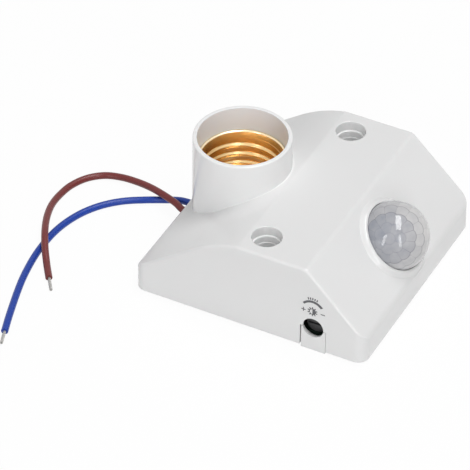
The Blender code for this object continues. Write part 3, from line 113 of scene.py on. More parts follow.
camera = add_object("camera", bpy.data.cameras.new("camera"))
camera.rotation_euler = (90 * DEGREE - CAMERA_ELEVATION, 0, CAMERA_AZIMUTH)
camera.location = CAMERA_AIM + camera.rotation_euler.to_matrix() @ Vector((0, 0, CAMERA_DISTANCE))
camera.data.sensor_width = SENSOR_WIDTH
camera.data.lens = CAMERA_LENS
camera.data.clip_start, camera.data.clip_end = CLIP_RANGE
bpy.context.scene.camera = camera
bpy.context.scene.view_settings.view_transform = "Standard"

# The studio: a plain pale floor, an even pale surround, a long soft lamp overhead and one on each
# side of the camera. The camera, and what shiny and clear pieces show, see the surround as white.
SURROUND_LIGHT = 0.2
PAPER_WHITE = (1, 1, 1, 1)
FLOOR_COLOUR = (0.95, 0.95, 0.95, 1)
FLOOR_SHADE = 0.05
FLOOR_SIZE = 6.0
FLOOR_LEVEL = -0.05 * MM
LAMPS = [
    ("overhead_lamp", (0.25, 0.04, 1.2), (-0.50, 0.86, 0.07), 0.35, 1.1, 9.6),
    ("left_lamp", (-0.26, -1.40, 0.56), (0, 0, 1), 0.24, 1.0, 4.4),
    ("right_lamp", (0.96, -0.97, 0.62), (0, 0, 1), 0.24, 1.0, 4.4),
]


def add_node(tree, kind, values=None, **settings):
    """A node with its settings, and values or links on its inputs, by name or number."""
    node = tree.nodes.new(kind)
    for key, value in settings.items():
        setattr(node, key, value)
    for key, value in (values or {}).items():
        value = value.socket if isinstance(value, Result) else value
        if isinstance(value, bpy.types.NodeSocket):
            tree.links.new(value, node.inputs[key])
        else:
            node.inputs[key].default_value = value
    return node


class Result:
    """A node's result in the tree being built. Plain signs reckon on with it, in Math nodes."""

    def __init__(self, socket):
        self.socket = socket

    def __add__(self, other):
        return reckon("ADD", self, other)

    def __sub__(self, other):
        return reckon("SUBTRACT", self, other)

    def __rsub__(self, other):
        return reckon("SUBTRACT", other, self)

    def __mul__(self, other):
        return reckon("MULTIPLY", self, other)

    def __truediv__(self, other):
        return reckon("DIVIDE", self, other)

    def __pow__(self, other):
        return reckon("POWER", self, other)


def results(node):
    """All results of a node, by name."""
    return {socket.name: Result(socket) for socket in node.outputs}


def result(kind, values=None, **settings):
    """The first result of a new node in the tree being built."""
    return Result(add_node(tree, kind, values, **settings).outputs[0])


def reckon(operation, *values, clamp=False):
    """The result of a Math node in the tree being built."""
    return result("ShaderNodeMath", dict(enumerate(values)), operation=operation, use_clamp=clamp)


def seen_directly():
    """A factor that is 1 for rays from the camera, and from glossy and clear surfaces."""
    path = add_node(tree, "ShaderNodeLightPath").outputs
    sharp = reckon("MAXIMUM", path["Is Camera Ray"], path["Is Glossy Ray"])
    return reckon("MAXIMUM", sharp, path["Is Transmission Ray"])


world = bpy.data.worlds.new("surround")
bpy.context.scene.world = world
world.use_nodes = True
tree = world.node_tree
tree.nodes.clear()
light = result("ShaderNodeBackground", {"Color": PAPER_WHITE, "Strength": SURROUND_LIGHT})
shown = result("ShaderNodeBackground", {"Color": PAPER_WHITE, "Strength": 1.0})
mixed = result("ShaderNodeMixShader", {0: seen_directly(), 1: light, 2: shown})
add_node(tree, "ShaderNodeOutputWorld", {"Surface": mixed})

floor_mesh = bpy.data.meshes.new("floor")
half = FLOOR_SIZE / 2
floor_corners = [(-half, -half), (half, -half), (half, half), (-half, half)]
floor_mesh.from_pydata([(x, y, FLOOR_LEVEL) for x, y in floor_corners], [], [(0, 1, 2, 3)])
floor = add_object("floor", floor_mesh)
floor_finish = bpy.data.materials.new("pale_floor")
floor_finish.use_nodes = True
tree = floor_finish.node_tree
tree.nodes.clear()
matt = result("ShaderNodeBsdfDiffuse", {"Color": FLOOR_COLOUR})
white = result("ShaderNodeEmission", {"Color": PAPER_WHITE, "Strength": 1.0})
mixed = result("ShaderNodeMixShader", {0: seen_directly() * (1 - FLOOR_SHADE), 1: matt, 2: white})
add_node(tree, "ShaderNodeOutputMaterial", {"Surface": mixed})
floor_mesh.materials.append(floor_finish)
floor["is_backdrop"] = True

for name, place, length_way, width, length, power in LAMPS:
    lamp = add_object(name, bpy.data.lights.new(name, "AREA"))
    lamp.data.shape = "RECTANGLE"
    lamp.data.size = width
    lamp.data.size_y = length
    lamp.data.energy = power
    lamp.location = place
    toward = Vector(place).normalized()
    across = Vector(length_way).cross(toward).normalized()
    lamp.rotation_euler = Matrix((across, toward.cross(across), toward)).transposed().to_euler()

# The two supply leads: stranded copper in extruded insulation, brown for live and blue for
# neutral. Both come out of one slot in the back wall, cross, and lie loose up to their bare ends.
LEAD_DIAMETER = 2.35 * MM
LEAD_EXIT_HEIGHT = 4.5 * MM
LEAD_EXIT_SPREAD = 2.05 * MM
BACK_WALL = 2 * MM
ROUTE_STEPS = 12
BROWN = (0.165, 0.024, 0.022)
BLUE = (0.006, 0.046, 0.340)
LEAD_SHINE = 0.4
LEAD_ROUGHNESS = 0.36
POLISH_CHANGE = 0.12
LEAD_ROUTES = {
    "live": [
        (-46.8, -0.6, 5.0), (-52.7, 1.5, 4.9), (-58.3, 3.7, 4.0), (-64.2, 5.4, 2.9),
        (-70.5, 6.2, 1.9), (-76.4, 5.1, 1.3), (-81.0, 1.2, 1.2), (-83.8, -4.4, 1.2),
        (-84.6, -10.4, 1.4), (-84.1, -16.4, 2.1), (-82.4, -22.4, 3.0), (-80.0, -28.2, 3.8),
        (-77.2, -33.7, 4.1), (-74.2, -38.8, 3.1), (-70.8, -43.8, 1.6), (-67.2, -48.8, 1.2),
    ],
    "neutral": [
        (-47.1, 2.5, 3.6), (-53.3, 1.9, 1.9), (-59.2, -0.3, 1.2), (-64.9, -4.0, 1.2),
        (-69.7, -8.8, 1.2), (-73.2, -14.3, 1.2), (-75.5, -20.3, 1.2), (-76.8, -26.7, 1.2),
        (-77.1, -33.3, 1.2), (-76.8, -39.8, 1.2), (-75.9, -46.3, 1.2), (-74.6, -52.8, 1.2),
        (-72.9, -59.2, 1.2), (-71.0, -65.5, 1.2), (-69.0, -71.8, 1.2), (-66.9, -77.9, 1.2),
    ],
}


def blend(tree, factor, first, second):
    """The result of a Mix node between two colours, each a value or another node's result."""
    return add_node(
        tree, "ShaderNodeMix", {"Factor": factor, 6: first, 7: second}, data_type="RGBA"
    ).outputs[2]


def surface(
    name, colour, roughness, metallic=0.0, patch=6 * MM, tint=0.06, grain=0.5 * MM, relief=0.01 * MM
):
    """A finish whose tone drifts over patches and whose face has a fine grain of a given relief."""
    made = bpy.data.materials.new(name)
    made.use_nodes = True
    tree = made.node_tree
    shader = tree.nodes["Principled BSDF"]
    shader.inputs["Metallic"].default_value = metallic
    place = add_node(tree, "ShaderNodeTexCoord").outputs["Object"]
    drift = add_node(tree, "ShaderNodeTexNoise", {
        "Vector": place, "Scale": 1 / patch, "Detail": 3.0, "Roughness": 0.55,
    }).outputs["Fac"]
    dark = tuple(max(0.0, part * (1 - tint)) for part in colour)
    pale = tuple(min(1.0, part * (1 + tint)) for part in colour)
    tone = blend(tree, drift, (*dark, 1), (*pale, 1))
    tree.links.new(tone, shader.inputs["Base Color"])
    fine = add_node(tree, "ShaderNodeTexNoise", {
        "Vector": place, "Scale": 1 / grain, "Detail": 2.0,
    }).outputs["Fac"]
    polish = add_node(tree, "ShaderNodeMapRange", {
        "Value": fine, "From Min": 0.3, "From Max": 0.7,
        "To Min": roughness * (1 - POLISH_CHANGE), "To Max": roughness * (1 + POLISH_CHANGE),
    })
    tree.links.new(polish.outputs[0], shader.inputs["Roughness"])
    bump = add_node(tree, "ShaderNodeBump", {"Strength": 1.0, "Distance": relief, "Height": fine})
    tree.links.new(bump.outputs[0], shader.inputs["Normal"])
    made.diffuse_color = (*colour, 1)
    return made


def smooth_line(knots, steps):
    """Points of a smooth curve through its knots."""
    ends = [knots[0] * 2 - knots[1], *knots, knots[-1] * 2 - knots[-2]]
    points = []
    for before, start, end, after in zip(ends, ends[1:], ends[2:], ends[3:]):
        for step in range(steps):
            t = step / steps
            bend = (before * 2 - start * 5 + end * 4 - after) * t**2
            twist = (start * 3 - before - end * 3 + after) * t**3
            points.append((start * 2 + (end - before) * t + bend + twist) / 2)
    return [*points, knots[-1].copy()]


def length_of(points):
    """The length of a line along its points."""
    return sum((end - start).length for start, end in zip(points, points[1:]))


back_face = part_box("housing")[0].x
leads = {}
for name, side, slot, colour in (
    ("live", -1, "brown_insulation", BROWN), ("neutral", 1, "blue_insulation", BLUE),
):
    insulation = surface(slot, colour, LEAD_ROUGHNESS, tint=0.05, grain=0.6 * MM, relief=0.006 * MM)
    insulation.node_tree.nodes["Principled BSDF"].inputs["Specular IOR Level"].default_value = LEAD_SHINE
    start = Vector((back_face + BACK_WALL / 2, side * LEAD_EXIT_SPREAD, LEAD_EXIT_HEIGHT))
    straight = start - Vector((BACK_WALL / 2 + LEAD_DIAMETER, 0, 0))
    points = smooth_line([start, straight, *[Vector(knot) * MM for knot in LEAD_ROUTES[name]]], ROUTE_STEPS)
    for point in points:
        point.z = max(point.z, LEAD_DIAMETER / 2)
    line = bpy.data.curves.new(f"{name}_insulation", "CURVE")
    line.dimensions = "3D"
    line.bevel_depth = LEAD_DIAMETER / 2
    line.bevel_resolution = 6
    line.use_fill_caps = True
    spline = line.splines.new("POLY")
    spline.points.add(len(points) - 1)
    for target, point in zip(spline.points, points):
        target.co = (*point, 1)
    spline.use_smooth = True
    line.materials.append(insulation)
    lead = add_object(f"{name}_insulation", line)
    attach(lead, "body")
    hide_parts(f"{name}_lead")
    leads[name] = (lead, points)

# The bare ends of the leads: fine copper strands, twisted together and dipped in solder.
# One tree lays a strand's helix round the axis and repeats it for the whole twist.
STRAND_COUNT = 7
STRAND_RADIUS = 0.2 * MM
TWIST_RADIUS = 0.34 * MM
TWIST_PITCH = 9 * MM
BARE_LENGTH = 5.6 * MM
TINNED = (0.46, 0.45, 0.43)


def new_tree(name, sizes):
    """A Geometry Nodes tree with named inputs for its sizes, and its input node."""
    tree = bpy.data.node_groups.new(name, "GeometryNodeTree")
    tree.interface.new_socket("Piece", in_out="INPUT", socket_type="NodeSocketGeometry")
    kinds = {int: "NodeSocketInt", float: "NodeSocketFloat", Vector: "NodeSocketVector"}
    for label, value in sizes.items():
        kind = kinds.get(type(value), "NodeSocketMaterial")
        tree.interface.new_socket(label, in_out="INPUT", socket_type=kind)
    tree.interface.new_socket("Geometry", in_out="OUTPUT", socket_type="NodeSocketGeometry")
    return tree, results(tree.nodes.new("NodeGroupInput"))


def end_tree(tree, geometry, material):
    """Ends a tree in Realize Instances and Set Material."""
    real = add_node(tree, "GeometryNodeRealizeInstances", {"Geometry": geometry})
    dressed = add_node(tree, "GeometryNodeSetMaterial", {"Geometry": real.outputs[0], "Material": material})
    add_node(tree, "NodeGroupOutput", {0: dressed.outputs[0]})


def applied(piece):
    """The mesh that a piece has with its modifiers."""
    shaped = piece.evaluated_get(bpy.context.evaluated_depsgraph_get())
    return bpy.data.meshes.new_from_object(shaped)


def dress(mesh, finish):
    """Gives a mesh one finish."""
    mesh.materials.clear()
    mesh.materials.append(finish)


def grown(name, tree, sizes, piece=None):
    """The plain mesh object that a tree makes with its sizes, from a first mesh if it needs one."""
    made = add_object(name, piece or bpy.data.meshes.new(name))
    modifier = made.modifiers.new("shape", "NODES")
    modifier.node_group = tree
    for item in tree.interface.items_tree:
        if item.in_out == "INPUT" and item.name in sizes:
            value = sizes[item.name]
            modifier[item.identifier] = tuple(value) if isinstance(value, Vector) else value
    made.data = applied(made)
    made.modifiers.clear()
    return made


tip_finish = surface("tinned_strands", TINNED, 0.34, metallic=0.85, patch=2 * MM, tint=0.15)
strand_sizes = {
    "Strands": STRAND_COUNT, "Strand Radius": STRAND_RADIUS, "Twist Radius": TWIST_RADIUS,
    "Pitch": TWIST_PITCH, "Length": BARE_LENGTH, "Material": tip_finish,
}
tree, given = new_tree("twisted_strands", strand_sizes)
helix = result("GeometryNodeCurveSpiral", {
    "Resolution": 32, "Rotations": given["Length"] / given["Pitch"],
    "Start Radius": given["Twist Radius"], "End Radius": given["Twist Radius"], "Height": given["Length"],
})
section = result("GeometryNodeCurvePrimitiveCircle", {
    "Resolution": 10, "Radius": given["Strand Radius"],
})
strand = result("GeometryNodeCurveToMesh", {
    "Curve": helix, "Profile Curve": section, "Fill Caps": True,
})
points = result("GeometryNodePoints", {"Count": given["Strands"]})
index = result("GeometryNodeInputIndex")
angle = index * reckon("DIVIDE", 360 * DEGREE, given["Strands"])
turned_by = result("ShaderNodeCombineXYZ", {"Z": angle})
twist = result("GeometryNodeInstanceOnPoints", {
    "Points": points, "Instance": strand, "Rotation": turned_by,
})
end_tree(tree, twist, given["Material"])
for name, (lead, points) in leads.items():
    along = (points[-1] - points[-2]).normalized()
    tip = grown(f"{name}_bare_end", tree, strand_sizes)
    tip.data.transform(Matrix.Translation(points[-1]) @ along.to_track_quat("Z", "Y").to_matrix().to_4x4())
    tip.data.shade_smooth()
    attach(tip, "body")
    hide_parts(f"{name}_lead_tip")
    length_of(points)

# The housing: one moulding in glossy white plastic, with the sloped shell, the collar of the lamp
# socket, the ring round the dome, and inside it the posts and bosses that the screws go into.
WHITE = (0.80, 0.80, 0.80)
WHITE_ROUGHNESS = 0.17
WHITE_RELIEF = 0.0008 * MM
LIGHT_LET_IN = 0.2
LIGHT_SPREAD = (1.0, 0.85, 0.88)
LIGHT_REACH = 1.5 * MM
# Painted light: the collar, the inside of its bore and the mouths of the mounting bores are painted in
# paler tints of the white. The bore's tint is bluish.
COLLAR_PAINTED_LIGHT = (0.89, 0.89, 0.89)
BORE_PAINTED_LIGHT = (0.93, 0.955, 1.0)
MOUNT_PAINTED_LIGHT = (0.94, 0.94, 0.94)
PAINTED_LIGHT_ROOM = 0.1 * MM
PAINTED_LIGHT_BLUR = 0.3 * MM
HALF_LENGTH = 41 * MM
HALF_WIDTH = 39.75 * MM
BODY_HEIGHT = 31.15 * MM
RIM_STEP = 0.7 * MM
WALL = 2 * MM
SEAT_GAP = 0.3 * MM
SIDE_DRAFT = 1.3 * DEGREE
PLATEAU_LENGTH = 24.4 * MM
FRONT_SLOPE_RUN = 20.9 * MM
FRONT_LIP_HEIGHT = 10.15 * MM
BACK_LIP_HEIGHT = 9.06 * MM
SHOULDER_RUN = 9.33 * MM
SHOULDER_ANGLE = 13.5 * DEGREE
SHOULDER_RADIUS = 44 * MM
SHOULDER_CREASE_RADIUS = 4 * MM
FRONT_RIDGE_RADIUS = 2.5 * MM
FRONT_LIP_RADIUS = 4 * MM
BACK_LIP_RADIUS = 3 * MM
PLAN_CORNER_RADIUS = 3.8 * MM
RIDGE_RADIUS = 1 * MM
RIDGE_STEPS = 6
CORNER_STEPS = 12
ARC_TURN = 4 * DEGREE
ARC_RUN = 0.8 * MM
ARC_SHARE = 0.98
ROUND_SIDES = 128
HOLE_SIDES = 64
CUT_MARGIN = 3 * MM
RIDGE_X = HALF_LENGTH - FRONT_SLOPE_RUN
SHOULDER_X = RIDGE_X - PLATEAU_LENGTH
SHARP_ANGLE = 32 * DEGREE
FLAT_ANGLE = 0.02 * DEGREE
CREASE_ANGLE = 20 * DEGREE
MERGE_DISTANCE = 0.0005 * MM

COLLAR_BORE_RADIUS = 14.7 * MM
COLLAR_WALL = 1.37 * MM
COLLAR_DRAFT = 0.6 * DEGREE
COLLAR_TOP = 41.45 * MM
COLLAR_BOTTOM = 6.5 * MM
COLLAR_RIM_RADIUS = 0.5 * MM
COLLAR_LIP_RADIUS = 0.2 * MM
COLLAR_BACK_ROOM = 2.3 * MM
COLLAR_FILLET = 0.6 * MM
SEAT_RING_WIDTH = 2.8 * MM
SEAT_RING_THICKNESS = 1.5 * MM
COLLAR_RADIUS = COLLAR_BORE_RADIUS + COLLAR_WALL
COLLAR_FOOT_RADIUS = COLLAR_RADIUS + math.tan(COLLAR_DRAFT) * (COLLAR_TOP - COLLAR_BOTTOM)
SOCKET_X = COLLAR_FOOT_RADIUS + COLLAR_BACK_ROOM - HALF_LENGTH
LUG_RADIUS = 3.4 * MM
LUG_OFFSET = 10.4 * MM
LUG_HOLE_RADIUS = 1.3 * MM

MOUNT_X = SHOULDER_X + 6.1 * MM
MOUNT_Y = 30 * MM
MOUNT_STEPS = [(4.93 * MM, 0.0), (4.4 * MM, 3.5 * MM), (4.2 * MM, 5.9 * MM)]
MOUTH_RADIUS = 0.3 * MM
POST_RADIUS = 6.18 * MM
POST_BOTTOM = 2.3 * MM
POST_SEAT = 4.3 * MM
MOUNT_HOLE_RADIUS = 2.25 * MM
BOSS_INSET = 6.7 * MM
BOSS_RADIUS = 3.2 * MM
PILOT_RADIUS = 1.55 * MM
PILOT_TOP = 8.8 * MM

DOME_RADIUS = 11.4 * MM
DOME_HOLE_RADIUS = 11.52 * MM
DOME_DOWN_SLOPE = 1.2 * MM
RING_HEIGHT = 1.5 * MM
RING_WIDTH = 1.5 * MM
RING_CROWN = 12.0 * MM
RING_FOOT = 1.3 * MM
RING_SINK = 0.25 * MM
RING_BURIED = 1.1 * MM
RING_BEVEL = 0.15 * MM
RING_STEPS = 12
EAR_OFFSET = 15.6 * MM
EAR_RADIUS = 2.7 * MM
EAR_TOP = -3.4 * MM
EAR_HOLE_TOP = -1 * MM
SLOPE_DROP = BODY_HEIGHT - FRONT_LIP_HEIGHT
SLOPE_LENGTH = math.hypot(FRONT_SLOPE_RUN, SLOPE_DROP)
DOME_SHARE = 0.5 + DOME_DOWN_SLOPE / SLOPE_LENGTH
DOME_PLACE = (RIDGE_X + FRONT_SLOPE_RUN * DOME_SHARE, 0, BODY_HEIGHT - SLOPE_DROP * DOME_SHARE)
SLOPE_FRAME = (
    Matrix.Translation(DOME_PLACE)
    @ Matrix.Rotation(math.atan2(SLOPE_DROP, FRONT_SLOPE_RUN), 4, "Y")
    @ Matrix.Rotation(180 * DEGREE, 4, "Z")
)

ADJUSTER_X = 23 * MM
ADJUSTER_Z = 8.95 * MM
ADJUSTER_HOLE_RADIUS = 3.6 * MM
ADJUSTER_WALL = 0.8 * MM
ADJUSTER_RELIEF = 0.9 * MM
TONGUE_WIDTH = 8.5 * MM
TONGUE_TOP = ADJUSTER_Z - 0.55 * MM
TONGUE_ROUNDING = 0.12 * MM
CUT_BEHIND = 0.5 * MM
LEAD_SLOT_ROOM = 0.35 * MM


def closed(name, shape):
    """Points and faces as an object, with the faces turned outward."""
    bmesh.ops.recalc_face_normals(shape, faces=shape.faces)
    mesh = bpy.data.meshes.new(name)
    shape.to_mesh(mesh)
    shape.free()
    return add_object(name, mesh)


def side_profile(inset):
    """The top of the side profile from the back lip to the front lip: places and outward normals."""
    bend_height = BODY_HEIGHT - math.tan(SHOULDER_ANGLE) * SHOULDER_RUN
    corners = [
        (-HALF_LENGTH, 0, 0),
        (-HALF_LENGTH, BACK_LIP_HEIGHT, BACK_LIP_RADIUS),
        (SHOULDER_X - SHOULDER_RUN, bend_height, SHOULDER_RADIUS),
        (SHOULDER_X, BODY_HEIGHT, SHOULDER_CREASE_RADIUS),
        (RIDGE_X, BODY_HEIGHT, FRONT_RIDGE_RADIUS),
        (HALF_LENGTH, FRONT_LIP_HEIGHT, FRONT_LIP_RADIUS),
        (HALF_LENGTH, 0, 0),
    ]
    places = [Vector(corner[:2]) for corner in corners]
    edges = [end - start for start, end in zip(places, places[1:])]
    normals = [Vector((-edge.y, edge.x)).normalized() for edge in edges]
    tangents = [0.0]
    for index in range(1, len(corners) - 1):
        turn = normals[index - 1].angle(normals[index])
        tangents.append(corners[index][2] * math.tan(turn / 2))
    tangents.append(0.0)
    line = []
    for index in range(1, len(corners) - 1):
        room = 1.0
        for edge, other in ((edges[index - 1], index - 1), (edges[index], index + 1)):
            wanted = tangents[index] + tangents[other]
            if wanted > ARC_SHARE * edge.length:
                room = min(room, ARC_SHARE * edge.length / wanted)
        radius = corners[index][2] * room
        before, after = normals[index - 1], normals[index]
        turn = before.angle(after)
        centre = places[index] - (before + after).normalized() * radius / math.cos(turn / 2)
        steps = max(2, math.ceil(turn / ARC_TURN), math.ceil(turn * radius / ARC_RUN))
        for step in range(steps + 1):
            normal = before.slerp(after, step / steps)
            line.append((centre + normal * (radius - inset), normal))
    return line


def between(line, x):
    """The point of a profile line at x, on the stretch that spans it."""
    for (start, normal), (end, after) in zip(line, line[1:]):
        if start.x + MERGE_DISTANCE < x < end.x - MERGE_DISTANCE:
            share = (x - start.x) / (end.x - start.x)
            return [(start.lerp(end, share), normal.slerp(after, share))]
    return []


def shell_block(name, inset, rounding, low):
    """The shell's form moved inwards by an inset: profile, plan corners, draft and rounded ridges."""
    corner = PLAN_CORNER_RADIUS - inset - rounding
    corner_x = HALF_LENGTH - inset - rounding - corner
    line = side_profile(inset + rounding)
    extra = []
    for step in range(CORNER_STEPS):
        x = corner_x + corner * math.sin(step * 90 * DEGREE / CORNER_STEPS)
        extra += between(line, x) + between(line, -x)
    line = sorted(line + extra, key=lambda row: (row[0].x, row[0].y * (-1 if row[0].x > 0 else 1)))
    lean = math.tan(SIDE_DRAFT)
    shape = bmesh.new()
    rows = []
    for place, normal in line:
        past = min(max(abs(place.x) - corner_x, 0), corner)
        fall = corner - math.sqrt(corner**2 - past**2)
        facing = math.copysign(math.asin(past / corner), place.x)
        row = []
        for side in (-1, 1):
            wall = Vector((math.sin(facing), side * math.cos(facing), 0))
            top = Vector((normal.x, 0, normal.y))
            steps = RIDGE_STEPS if rounding else 0
            arc = [wall.slerp(top, step / steps, top) for step in range(steps + 1)] if steps else [top]
            y = side * (HALF_WIDTH - inset - rounding - lean * place.y - fall)
            points = [Vector((place.x, y, place.y)) + way * rounding for way in arc]
            foot = Vector((points[0].x, points[0].y + side * lean * (points[0].z - low), low))
            points = [foot, *points]
            row += points if side < 0 else points[::-1]
        rows.append([shape.verts.new(point) for point in row])
    for last, row in zip(rows, rows[1:]):
        for left, right, upper_left, upper_right in zip(last, last[1:], row, row[1:]):
            shape.faces.new((left, right, upper_right, upper_left))
    shape.faces.new([row[0] for row in rows] + [row[-1] for row in reversed(rows)])
    shape.faces.new(rows[0])
    shape.faces.new(rows[-1])
    bmesh.ops.remove_doubles(shape, verts=shape.verts, dist=MERGE_DISTANCE)
    bmesh.ops.dissolve_degenerate(shape, edges=shape.edges, dist=MERGE_DISTANCE)
    bmesh.ops.dissolve_limit(shape, angle_limit=FLAT_ANGLE, verts=shape.verts, edges=shape.edges)
    return closed(name, shape)


def skin(name, shape, rings, sides):
    """A closed loop of rings, each a circle of points or one point on the axis, as an object."""
    for index, ring in enumerate(rings):
        last = rings[index - 1]
        for side in range(sides):
            corners = [last[side % len(last)], last[(side + 1) % len(last)]]
            corners += [ring[(side + 1) % len(ring)], ring[side % len(ring)]]
            corners = list(dict.fromkeys(corners))
            if len(corners) > 2:
                shape.faces.new(corners)
    return closed(name, shape)


def turned(name, profile, sides, centre=(0.0, 0.0)):
    """A closed loop of (radius, height) points turned about an upright axis."""
    shape = bmesh.new()
    rings = []
    for radius, height in profile:
        count = sides if radius > 0 else 1
        ring = []
        for side in range(count):
            angle = 360 * DEGREE * side / count
            x = centre[0] + radius * math.cos(angle)
            y = centre[1] + radius * math.sin(angle)
            ring.append(shape.verts.new((x, y, height)))
        rings.append(ring)
    return skin(name, shape, rings, sides)


def rounded(centre, radius, start, end, steps=6):
    """Points of an arc about a centre, from one angle to another in degrees."""
    angles = [(start + (end - start) * step / steps) * DEGREE for step in range(steps + 1)]
    return [(centre[0] + radius * math.cos(a), centre[1] + radius * math.sin(a)) for a in angles]


def circle(radius, sides, x=0.0, y=0.0):
    """Points of a circle."""
    return rounded((x, y), radius, 0, 360, sides)[:-1]


def rectangle(left, right, low, high, radius):
    """Points of a rectangle with rounded corners."""
    left, right, low, high = left + radius, right - radius, low + radius, high - radius
    points = rounded((right, low), radius, -90, 0) + rounded((right, high), radius, 0, 90)
    return points + rounded((left, high), radius, 90, 180) + rounded((left, low), radius, 180, 270)


def prism(name, outline, low, high, along="Z"):
    """An outline drawn out along X, Y or Z between two levels."""
    axes = {"X": (2, 0, 1), "Y": (0, 2, 1), "Z": (0, 1, 2)}[along]
    shape = bmesh.new()
    rings = []
    for level in (low, high):
        points = [(u, v, level) for u, v in outline]
        rings.append([shape.verts.new([point[axis] for axis in axes]) for point in points])
    shape.faces.new(rings[0])
    shape.faces.new(rings[1])
    for index in range(len(outline)):
        last = index - 1
        shape.faces.new((rings[0][last], rings[0][index], rings[1][index], rings[1][last]))
    return closed(name, shape)


def peg(radius, place, low, high, sides=HOLE_SIDES):
    """An upright round peg at a place between two levels."""
    return prism("peg", circle(radius, sides, *place), low, high)


def joined(name, solids):
    """Separate solids as one object."""
    shape = bmesh.new()
    for one in solids:
        shape.from_mesh(one.data)
        bpy.data.objects.remove(one)
    return closed(name, shape)


def combine(target, operation, tool):
    """Adds a tool to the target or cuts it away, and removes the tool."""
    modifier = target.modifiers.new("combine", "BOOLEAN")
    modifier.operation = operation
    modifier.solver = "EXACT"
    modifier.object = tool
    mesh = applied(target)
    target.modifiers.clear()
    shape = bmesh.new()
    shape.from_mesh(mesh)
    bmesh.ops.remove_doubles(shape, verts=shape.verts, dist=MERGE_DISTANCE)
    bmesh.ops.dissolve_degenerate(shape, edges=shape.edges, dist=MERGE_DISTANCE)
    shape.to_mesh(mesh)
    shape.free()
    target.data = mesh
    bpy.data.objects.remove(tool)
    return target


def finished(piece, finish):
    """Smooth shading up to sharp edges, even across flat faces, with a piece's material."""
    piece.data.shade_smooth()
    piece.data.set_sharp_from_angle(angle=SHARP_ANGLE)
    evened = piece.modifiers.new("even_shading", "WEIGHTED_NORMAL")
    evened.keep_sharp = True
    piece.data = applied(piece)
    piece.modifiers.clear()
    dress(piece.data, finish)
    return piece


def mount_bore(centre):
    """A stepped bore as a cutter: each step is a radius and its depth, with a rounded edge above it."""
    profile = [(0, high), (MOUNT_STEPS[0][0] + MOUTH_RADIUS, high)]
    for index, (radius, depth) in enumerate(MOUNT_STEPS):
        if index:
            profile.append((MOUNT_STEPS[index - 1][0], BODY_HEIGHT - depth))
        middle = (radius + MOUTH_RADIUS, BODY_HEIGHT - depth - MOUTH_RADIUS)
        profile += rounded(middle, MOUTH_RADIUS, 90, 180, 5)
    profile += [(MOUNT_STEPS[-1][0], POST_SEAT), (MOUNT_HOLE_RADIUS, POST_SEAT)]
    profile += [(MOUNT_HOLE_RADIUS, 0), (0, 0)]
    return turned("bore", profile, HOLE_SIDES, centre)


def moulding_white(name):
    """A glossy white moulding plastic that lets a little light in."""
    made = surface(
        name, WHITE, WHITE_ROUGHNESS, patch=14 * MM, tint=0.006, grain=3 * MM, relief=WHITE_RELIEF
    )
    inputs = made.node_tree.nodes["Principled BSDF"].inputs
    inputs["Subsurface Weight"].default_value = LIGHT_LET_IN
    inputs["Subsurface Radius"].default_value = LIGHT_SPREAD
    inputs["Subsurface Scale"].default_value = LIGHT_REACH
    return made


white_plastic = moulding_white("white_plastic")
tree = white_plastic.node_tree
base_colour = tree.nodes["Principled BSDF"].inputs["Base Color"]
place = add_node(tree, "ShaderNodeTexCoord").outputs["Object"]
at = results(add_node(tree, "ShaderNodeSeparateXYZ", {"Vector": place}))
tone = base_colour.links[0].from_socket
# Painted light: within the radii of the collar, its bore and the mounting bores, the white is blended to
# its paler tints.
for colour, x, y, reach in (
    (COLLAR_PAINTED_LIGHT, SOCKET_X, 0, COLLAR_FOOT_RADIUS), (BORE_PAINTED_LIGHT, SOCKET_X, 0, COLLAR_BORE_RADIUS),
    (MOUNT_PAINTED_LIGHT, MOUNT_X, MOUNT_Y, MOUNT_STEPS[0][0] - 0.2 * MM),
):
    off_axis = result("ShaderNodeCombineXYZ", {"X": at["X"] - x, "Y": reckon("ABSOLUTE", at["Y"]) - y})
    away = add_node(tree, "ShaderNodeVectorMath", {0: off_axis}, operation="LENGTH")
    painted_light_share = result("ShaderNodeMapRange", {
        "Value": away.outputs["Value"], "From Min": reach + PAINTED_LIGHT_ROOM + PAINTED_LIGHT_BLUR,
        "From Max": reach + PAINTED_LIGHT_ROOM,
    })
    tone = blend(tree, painted_light_share, tone, (*colour, 1))
tree.links.new(tone, base_colour)
rim = (COLLAR_RADIUS - COLLAR_RIM_RADIUS, COLLAR_TOP - COLLAR_RIM_RADIUS)
collar_profile = [
    (0, COLLAR_BOTTOM), (COLLAR_FOOT_RADIUS, COLLAR_BOTTOM), *rounded(rim, COLLAR_RIM_RADIUS, 0, 90),
    (0, COLLAR_TOP),
]
ring_outer = DOME_HOLE_RADIUS + RING_WIDTH
ring_profile = [(0, -RING_BURIED), (ring_outer + RING_FOOT, -RING_BURIED)]
for step in range(RING_STEPS + 1):
    share = 1 - step / RING_STEPS
    reach = RING_CROWN + (ring_outer + RING_FOOT - RING_CROWN) * share
    swell = (1 + math.cos(180 * DEGREE * share)) / 2
    ring_profile.append((reach, (RING_HEIGHT + RING_SINK) * swell - RING_SINK))
ring_profile += [
    (DOME_HOLE_RADIUS + RING_BEVEL, RING_HEIGHT), (DOME_HOLE_RADIUS, RING_HEIGHT - RING_BEVEL),
    (0, RING_HEIGHT - RING_BEVEL),
]
boss_x, boss_y = HALF_LENGTH - BOSS_INSET, HALF_WIDTH - BOSS_INSET
boss_places = [(x, y) for x in (-boss_x, boss_x) for y in (-boss_y, boss_y)]
mount_places = [(MOUNT_X, -MOUNT_Y), (MOUNT_X, MOUNT_Y)]
lug_places = [(SOCKET_X, -LUG_OFFSET), (SOCKET_X, LUG_OFFSET)]
ear_places = [(0, -EAR_OFFSET), (0, EAR_OFFSET)]
high = BODY_HEIGHT + CUT_MARGIN

